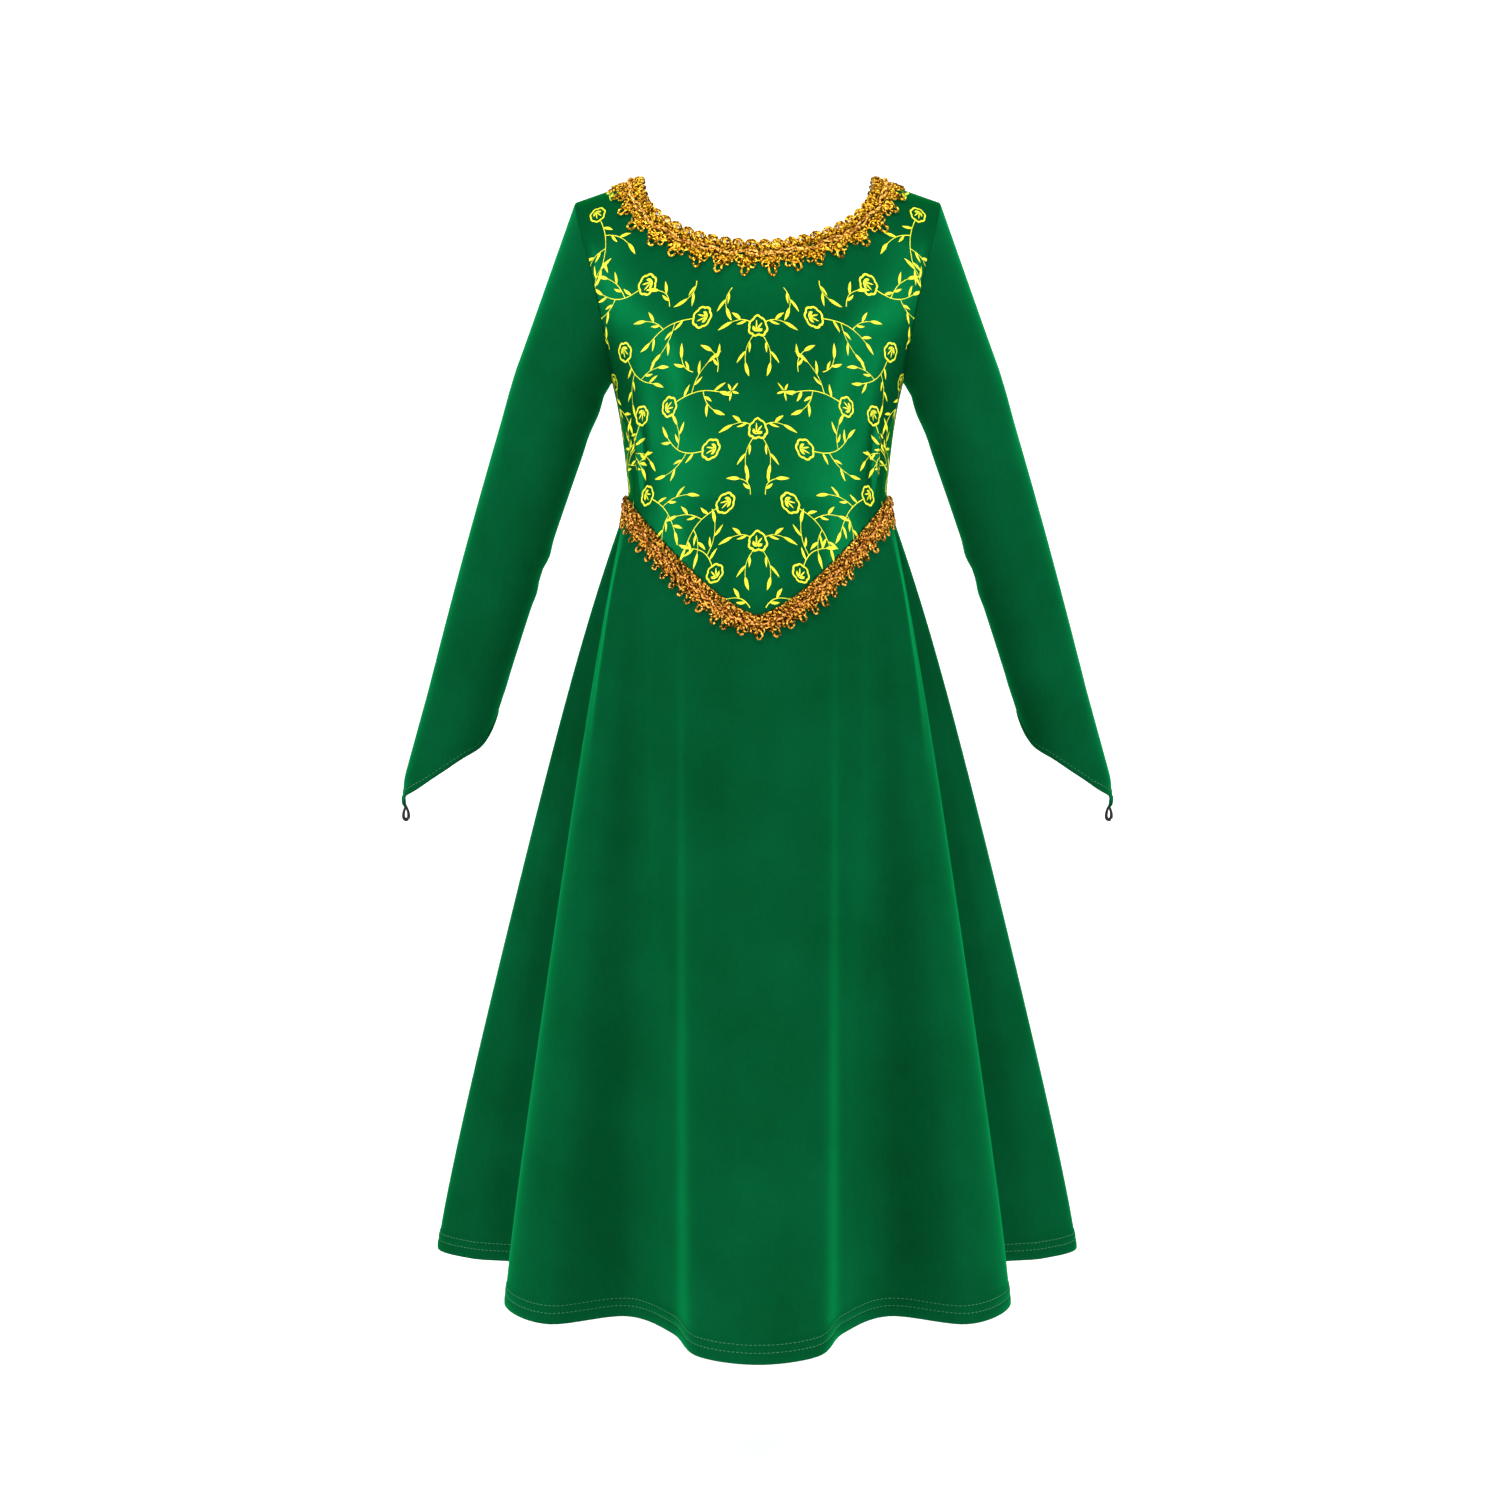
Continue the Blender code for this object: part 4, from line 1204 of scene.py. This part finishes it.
class InkPile(Pile):
    # Flat ink shapes given in the print's own plane, kept where they lie on the front bodice
    def shape(self, flat, faces):
        start = len(self.points)
        placed = [printPlace(u, v) for u, v in flat]
        self.points += [p for p, _ in placed]
        for face in faces:
            if all(placed[k][1] for k in face):
                self.faces.append([start + k for k in face])

    def strip(self, line, halves):
        # A band along a line, with its half width at each point
        flat, faces = [], []
        last = len(line) - 1
        for k, (here, half) in enumerate(zip(line, halves)):
            run = line[min(k + 1, last)] - line[max(k - 1, 0)]
            side = Vector((-run.y, run.x)).normalized()
            flat += [here + side * half, here - side * half]
            if k:
                n = 2 * k
                faces.append([n - 2, n - 1, n + 1, n])
        self.shape(flat, faces)

    def ribbon(self, line, wide, taper):
        # A stroke, thinner at its far end
        run = runOf(line)
        count = max(2, round(run[-1] / printPlan["step"]))
        points = [alongRun(run, line, run[-1] * k / count) for k in range(count + 1)]
        self.strip(points, [wide / 2 * (1 - (1 - taper) * k / count) for k in range(count + 1)])

    def leaf(self, at, heading, size, bend):
        long, wide = printPlan["leafLong"] * size, printPlan["leafWide"] * size
        run = aim(heading)
        side = Vector((-run.y, run.x))
        shares = [k / 9 for k in range(10)]
        line = [at + run * long * t + side * bend * long * t * t for t in shares]
        self.strip(line, [wide / 2 * math.sin(math.pi * t**0.85) + 0.1 * mm for t in shares])

    def rose(self, centre, heading, size=1.0):
        # A scalloped ring round a shell of petals that open away from its foot
        radius = printPlan["rose"] * size
        count = rosePlan["ringPoints"]
        ring = []
        for k in range(count + 1):
            turn = 2 * math.pi * k / count
            wave = abs(math.sin(rosePlan["scallops"] / 2 * turn))
            reach = radius * (rosePlan["ring"] + rosePlan["scallop"] * wave)
            ring.append(centre + aim(heading + turn) * reach)
        self.strip(ring, [rosePlan["ringHalf"] * size] * len(ring))
        foot = centre - aim(heading) * radius * rosePlan["foot"]
        for lean in rosePlan["petals"]:
            reach = radius * rosePlan["petalLong"] * math.cos(math.radians(lean))
            way = aim(heading + math.radians(lean)) * reach
            line = [foot + way * (0.12 + 0.88 * k / 6) for k in range(7)]
            swell = [math.sin(math.pi * (k + 0.6) / 7) for k in range(7)]
            half = rosePlan["petalHalf"] * size
            self.strip(line, [rosePlan["petalEnds"] + half * share for share in swell])
        cup = []
        for k in range(11):
            cup.append(centre + aim(heading + math.radians(112 + 13.6 * k)) * radius * rosePlan["cup"])
        self.strip(cup, [rosePlan["cupHalf"] * size] * len(cup))

    def star(self, centre, turn):
        for k in range(5):
            heading = turn + 2 * math.pi * k / 5
            self.leaf(centre + aim(heading) * 0.5 * mm, heading, 0.56, 0.0)


def aim(heading):
    # A unit step in the print's plane: heading 0 climbs, a quarter turn points outward
    return Vector((math.sin(heading), -math.cos(heading)))


def curl(start, heading, length, bend, steps=24):
    # A stem that turns by bend over its length, most in its middle
    line = [start.copy()]
    for k in range(steps):
        t = (k + 0.5) / steps
        line.append(line[-1] + aim(heading + bend * smooth(t)) * length / steps)
    return line


def headingAt(line, k):
    a, b = line[max(k - 1, 0)], line[min(k + 1, len(line) - 1)]
    return math.atan2(b.x - a.x, a.y - b.y)


def twig(pile, start, heading, length, bend):
    # A shoot with a leaf at its end and two on alternate sides below it
    line = curl(start, heading, length, bend, 12)
    pile.ribbon(line, printPlan["stroke"] * 0.9, 0.7)
    side = math.copysign(1, bend)
    pile.leaf(line[-1], headingAt(line, 12) + 0.1 * side, 1.0, 0.1 * side)
    for at, size in ((7, 0.85), (3, 0.7)):
        side = -side
        pile.leaf(line[at], headingAt(line, at) + side * 0.75, size, -0.16 * side)


def spray(pile, row):
    # A bending stem with a rose at its foot and leafy shoots to either side in turn
    start = Vector((row.u, row.v))
    heading = math.radians(row.heading)
    bend = math.radians(row.bend)
    if row.rose:
        pile.rose(start, heading, row.rose)
        start += aim(heading) * printPlan["rose"] * 0.84 * row.rose
    line = curl(start, heading, row.length, bend)
    pile.ribbon(line, printPlan["stroke"], 0.75)
    for k, (at, length) in enumerate(printPlan["shoots"][:row.shoots]):
        side = 1 if (k + row.first) % 2 else -1
        twig(pile, line[at], headingAt(line, at) + side * 1.2, length, side * -0.6)
    pile.leaf(line[-1], headingAt(line, 24), 1.0, 0.12)
    pile.leaf(line[21], headingAt(line, 21) - 0.9, 0.85, 0.15)
    pile.leaf(line[5], heading + (0.9 if row.first else -0.9), 0.8, 0.15)


# u and v of each rose in metres, then degrees and metres. A rose of 0 is none.
Spray = namedtuple("Spray", "name u v heading bend length shoots first rose")
sprays = (
    Spray("shoulder", 0.130, 0.040, 200, -40, 0.040, 2, 1, 0.9),
    Spray("beside the neck", 0.088, 0.108, 105, -50, 0.036, 2, 0, 1.0),
    Spray("breast, inner", 0.044, 0.146, 80, 40, 0.040, 2, 1, 1.0),
    Spray("breast, outer", 0.116, 0.152, 200, 50, 0.036, 2, 0, 1.0),
    Spray("side, upper", 0.143, 0.172, 190, -30, 0.038, 2, 1, 0.9),
    Spray("ribs, inner", 0.074, 0.204, -75, -40, 0.038, 2, 1, 1.0),
    Spray("ribs, outer", 0.104, 0.204, 150, 60, 0.036, 2, 0, 1.0),
    Spray("flank", 0.140, 0.256, -25, -40, 0.036, 2, 0, 1.0),
    Spray("waist, inner", 0.038, 0.246, 85, -50, 0.038, 2, 1, 1.0),
    Spray("waist, middle", 0.100, 0.266, -120, -40, 0.040, 2, 1, 1.0),
    Spray("point, inner", 0.026, 0.290, 105, 50, 0.036, 2, 0, 1.0),
    Spray("point, outer", 0.034, 0.340, 20, 50, 0.028, 1, 0, 0.9),
)
# Loose shoots: u and v of the foot, then degrees and metres
Shoot = namedtuple("Shoot", "name u v heading bend length")
shoots = (
    Shoot("shoulder's top", 0.118, 0.030, 20, -60, 0.018),
    Shoot("shoulder's edge", 0.136, 0.100, 0, -50, 0.018),
    Shoot("over the breast", 0.070, 0.130, 0, 60, 0.018),
    Shoot("under the lace", 0.048, 0.118, 175, -60, 0.014),
    Shoot("under the lace's middle", 0.020, 0.132, 130, 60, 0.015),
    Shoot("by the armhole", 0.136, 0.146, -20, 50, 0.016),
    Shoot("side seam", 0.150, 0.216, 10, -60, 0.018),
    Shoot("beside the centre", 0.032, 0.190, -10, 50, 0.018),
    Shoot("between the ribs", 0.052, 0.184, 60, -50, 0.016),
    Shoot("by the waist", 0.120, 0.268, 190, -50, 0.016),
    Shoot("under the centre rose", 0.006, 0.290, 0, 60, 0.018),
    Shoot("by the point", 0.006, 0.374, 30, 50, 0.022),
)
stars = ((0.021, 0.208),)
centreRoses = (0.166, 0.242, 0.326)


def fillPrint(pile):
    for side in (1, -1):
        for row in sprays:
            turned = row._replace(u=side * row.u, heading=side * row.heading, bend=side * row.bend,
                                  first=row.first if side > 0 else 1 - row.first)
            spray(pile, turned)
        for row in shoots:
            twig(pile, Vector((side * row.u, row.v)), side * math.radians(row.heading), row.length,
                 side * math.radians(row.bend))
        for k, (u, v) in enumerate(stars):
            pile.star(Vector((side * u, v)), side * (0.4 + k))
    # On the centre line: a rose with an arm to either side and two shoots below it
    for v in centreRoses:
        pile.rose(Vector((0, v)), 0.3)
        for side in (1, -1):
            twig(pile, Vector((side * 5.5 * mm, v - 4 * mm)), side * 0.9, 0.016, side * 0.7)
            twig(pile, Vector((side * 3.5 * mm, v + 6 * mm)), side * 2.4, 0.020, side * 0.8)


inkPile = InkPile()
fillPrint(inkPile)
ink = finishPiece("bodice_print", inkPile.points, inkPile.faces, printInk)
print("print", len(inkPile.faces), "faces")

# Finger loops and the little tails that hold them
loop = {
    "cord": 1.9 * mm,
    "width": 5.6 * mm,
    "height": 10.5 * mm,
    "neck": 0.35,             # how narrow its top is
    "fuller": 0.5,            # how much thicker its foot is
    "points": 40,
    "sides": 10,
}


def fingerLoop(word):
    low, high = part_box("finger_loop_" + word)
    middleX = (low[0] + high[0]) / 2
    top = high[2] - loop["cord"] / 2
    line, thick = [], []
    for k in range(loop["points"]):
        angle = 2 * math.pi * k / loop["points"]
        drop = (1 - math.cos(angle)) / 2
        x = loop["width"] / 2 * math.sin(angle) * (loop["neck"] + (1 - loop["neck"]) * drop)
        line.append(Vector((middleX + x, 0, top - loop["height"] * drop)))
        thick.append(loop["cord"] / 2 * (1 + loop["fuller"] * drop))
    pile = Pile()
    pile.tube(line, thick, loop["sides"], closed=True)
    piece = finishPiece("finger_loop_cord_" + word, pile.points, pile.faces, blackElastic)
    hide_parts("finger_loop_" + word)


for word in ("left", "right"):
    fingerLoop(word)
tab = {
    "wide": 3.0 * mm,
    "above": 7.0 * mm,        # how far it lies up the sleeve
    "thick": 3.4 * mm,
    "overLoop": 1.4 * mm,
    "rootOut": 0.3 * mm,      # how far it stands out from the sleeve, at its root and at the cuff's tip
    "tipOut": 0.2 * mm,
    "tipUp": 1.0 * mm,
    "widths": [0.7, 1.0, 0.95, 0.8, 0.62],
    "steps": 24,
    "sides": 14,
}


# A point on the outer line of a sleeve, above its cuff and a little out from it
def overCuff(above, out, side):
    place = sleevePoint(cuffReach(0) - above, 0, 1)
    return Vector((side * (place.x + out), 0, place.z))


# The doubled end of the hem, folded over the loop at the cuff's point
def cuffTab(word, side):
    low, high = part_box("finger_loop_" + word)
    end = Vector(((low[0] + high[0]) / 2, 0, high[2] - tab["overLoop"]))
    root = overCuff(tab["above"], tab["rootOut"], side)
    tip = overCuff(tab["tipUp"], tab["tipOut"], side)
    route = [root, root.lerp(tip, 0.5), tip, tip.lerp(end, 0.6), end]
    knots = list(range(len(route)))
    steps, sides = tab["steps"], tab["sides"]
    points, faces = [], []
    for k in range(steps + 1):
        t = k / steps * knots[-1]
        middle = hermite(knots, route, t)
        ahead = hermite(knots, route, min(t + 0.1, knots[-1]))
        behind = hermite(knots, route, max(t - 0.1, 0))
        run = (ahead - behind).normalized()
        flat = Vector((-run.z, 0, run.x))
        half = tab["wide"] / 2 * hermite(knots, tab["widths"], t)
        for s in range(sides):
            turn = 2 * math.pi * s / sides
            deep = Vector((0, 1, 0)) * half * math.sin(turn)
            points.append(middle + deep + flat * half * tab["thick"] / tab["wide"] * math.cos(turn))
    for k in range(steps):
        for s in range(sides):
            a, b = k * sides + s, k * sides + (s + 1) % sides
            faces.append([a, b, b + sides, a + sides])
    faces.append([s for s in reversed(range(sides))])
    faces.append([steps * sides + s for s in range(sides)])
    return finishPiece("cuff_tab_" + word, points, faces, stretchVelvet)


tabs = {word: cuffTab(word, side) for word, side in (("left", 1), ("right", -1))}
print("loops and tabs made")

gown.free()

# Stage: a plain white sweep below and behind the gown, which hangs clear of it
stage = {
    "floorZ": -1.02,
    "halfWidth": 4.0,
    "frontY": -1.6,
    "backY": 3.5,
    "radius": 1.5,
    "bends": 12,
    "top": 4.0,
}


def makeSweep():
    profile = [(stage["frontY"], stage["floorZ"])]
    for k in range(stage["bends"] + 1):
        turn = math.pi / 2 * k / stage["bends"]
        profile.append((stage["backY"] - stage["radius"] + stage["radius"] * math.sin(turn),
                        stage["floorZ"] + stage["radius"] * (1 - math.cos(turn))))
    profile.append((stage["backY"], stage["top"]))
    points, faces = [], []
    for y, z in profile:
        points += [(-stage["halfWidth"], y, z), (stage["halfWidth"], y, z)]
    for k in range(len(profile) - 1):
        faces.append([2 * k, 2 * k + 1, 2 * k + 3, 2 * k + 2])
    mesh = bpy.data.meshes.new("sweep")
    mesh.from_pydata(points, [], faces)
    mesh.shade_smooth()
    # Matt paper, lit a little from within so that it comes out white
    paper, _, _ = newMaterial("matt white paper", {
        "Base Color": hexToLinear("#ffffff"),
        "Roughness": 0.9,
        "Emission Color": hexToLinear("#ffffff"),
        "Emission Strength": 0.37,
    })
    mesh.materials.append(paper)
    sweep = bpy.data.objects.new("sweep", mesh)
    scene.collection.objects.link(sweep)


makeSweep()


def addLight(name, place, aim, size, power):
    light = bpy.data.lights.new(name, "AREA")
    light.shape = "RECTANGLE"
    light.size, light.size_y = size
    light.energy = power
    lamp = bpy.data.objects.new(name, light)
    lamp.location = place
    lamp.rotation_euler = (Vector(aim) - Vector(place)).to_track_quat("-Z", "Y").to_euler()
    scene.collection.objects.link(lamp)


# Where each one stands, what it is aimed at, its width and height in metres, and its watts
addLight("left softbox", (-2.5, -1.0, -0.5), (0, 0, -0.55), (0.8, 2.0), 58)
addLight("right softbox", (2.5, -1.0, -0.5), (0, 0, -0.55), (0.8, 2.0), 58)
addLight("high front softbox", (0, -2.8, 1.6), (0, 0, -0.4), (2.0, 0.8), 22)
addLight("shoulder softbox", (0, -0.45, 0.9), (0, 0, 0), (1.0, 0.35), 16)
addLight("low left softbox", (-1.7, -1.8, -0.85), (-0.1, 0, -0.8), (0.9, 0.25), 12)
addLight("low right softbox", (1.7, -1.8, -0.85), (0.1, 0, -0.8), (0.9, 0.25), 12)
addLight("low front softbox", (0, -1.7, -0.98), (0, 0, -0.8), (2.4, 0.4), 18)
world = bpy.data.worlds.new("white studio")
world.use_nodes = True
world.node_tree.nodes["Background"].inputs["Color"].default_value = (1, 1, 1, 1)
world.node_tree.nodes["Background"].inputs["Strength"].default_value = 0.5
scene.world = world
scene.view_settings.view_transform = "Standard"

# Camera at the photo's angle: from the front, a little above
view = {
    "lens": 67.63,            # mm, on a sensor 36 mm wide
    "sensor": 36,
    "place": (-0.0059, -2.2, -0.101),
    "tilt": 81.2,             # degrees, where 90 is level
}
lens = bpy.data.cameras.new("camera")
lens.lens = view["lens"]
lens.sensor_width = view["sensor"]
camera = bpy.data.objects.new("camera", lens)
camera.location = view["place"]
camera.rotation_euler = (math.radians(view["tilt"]), 0, 0)
scene.collection.objects.link(camera)
scene.camera = camera
print("stage, lights and camera set")
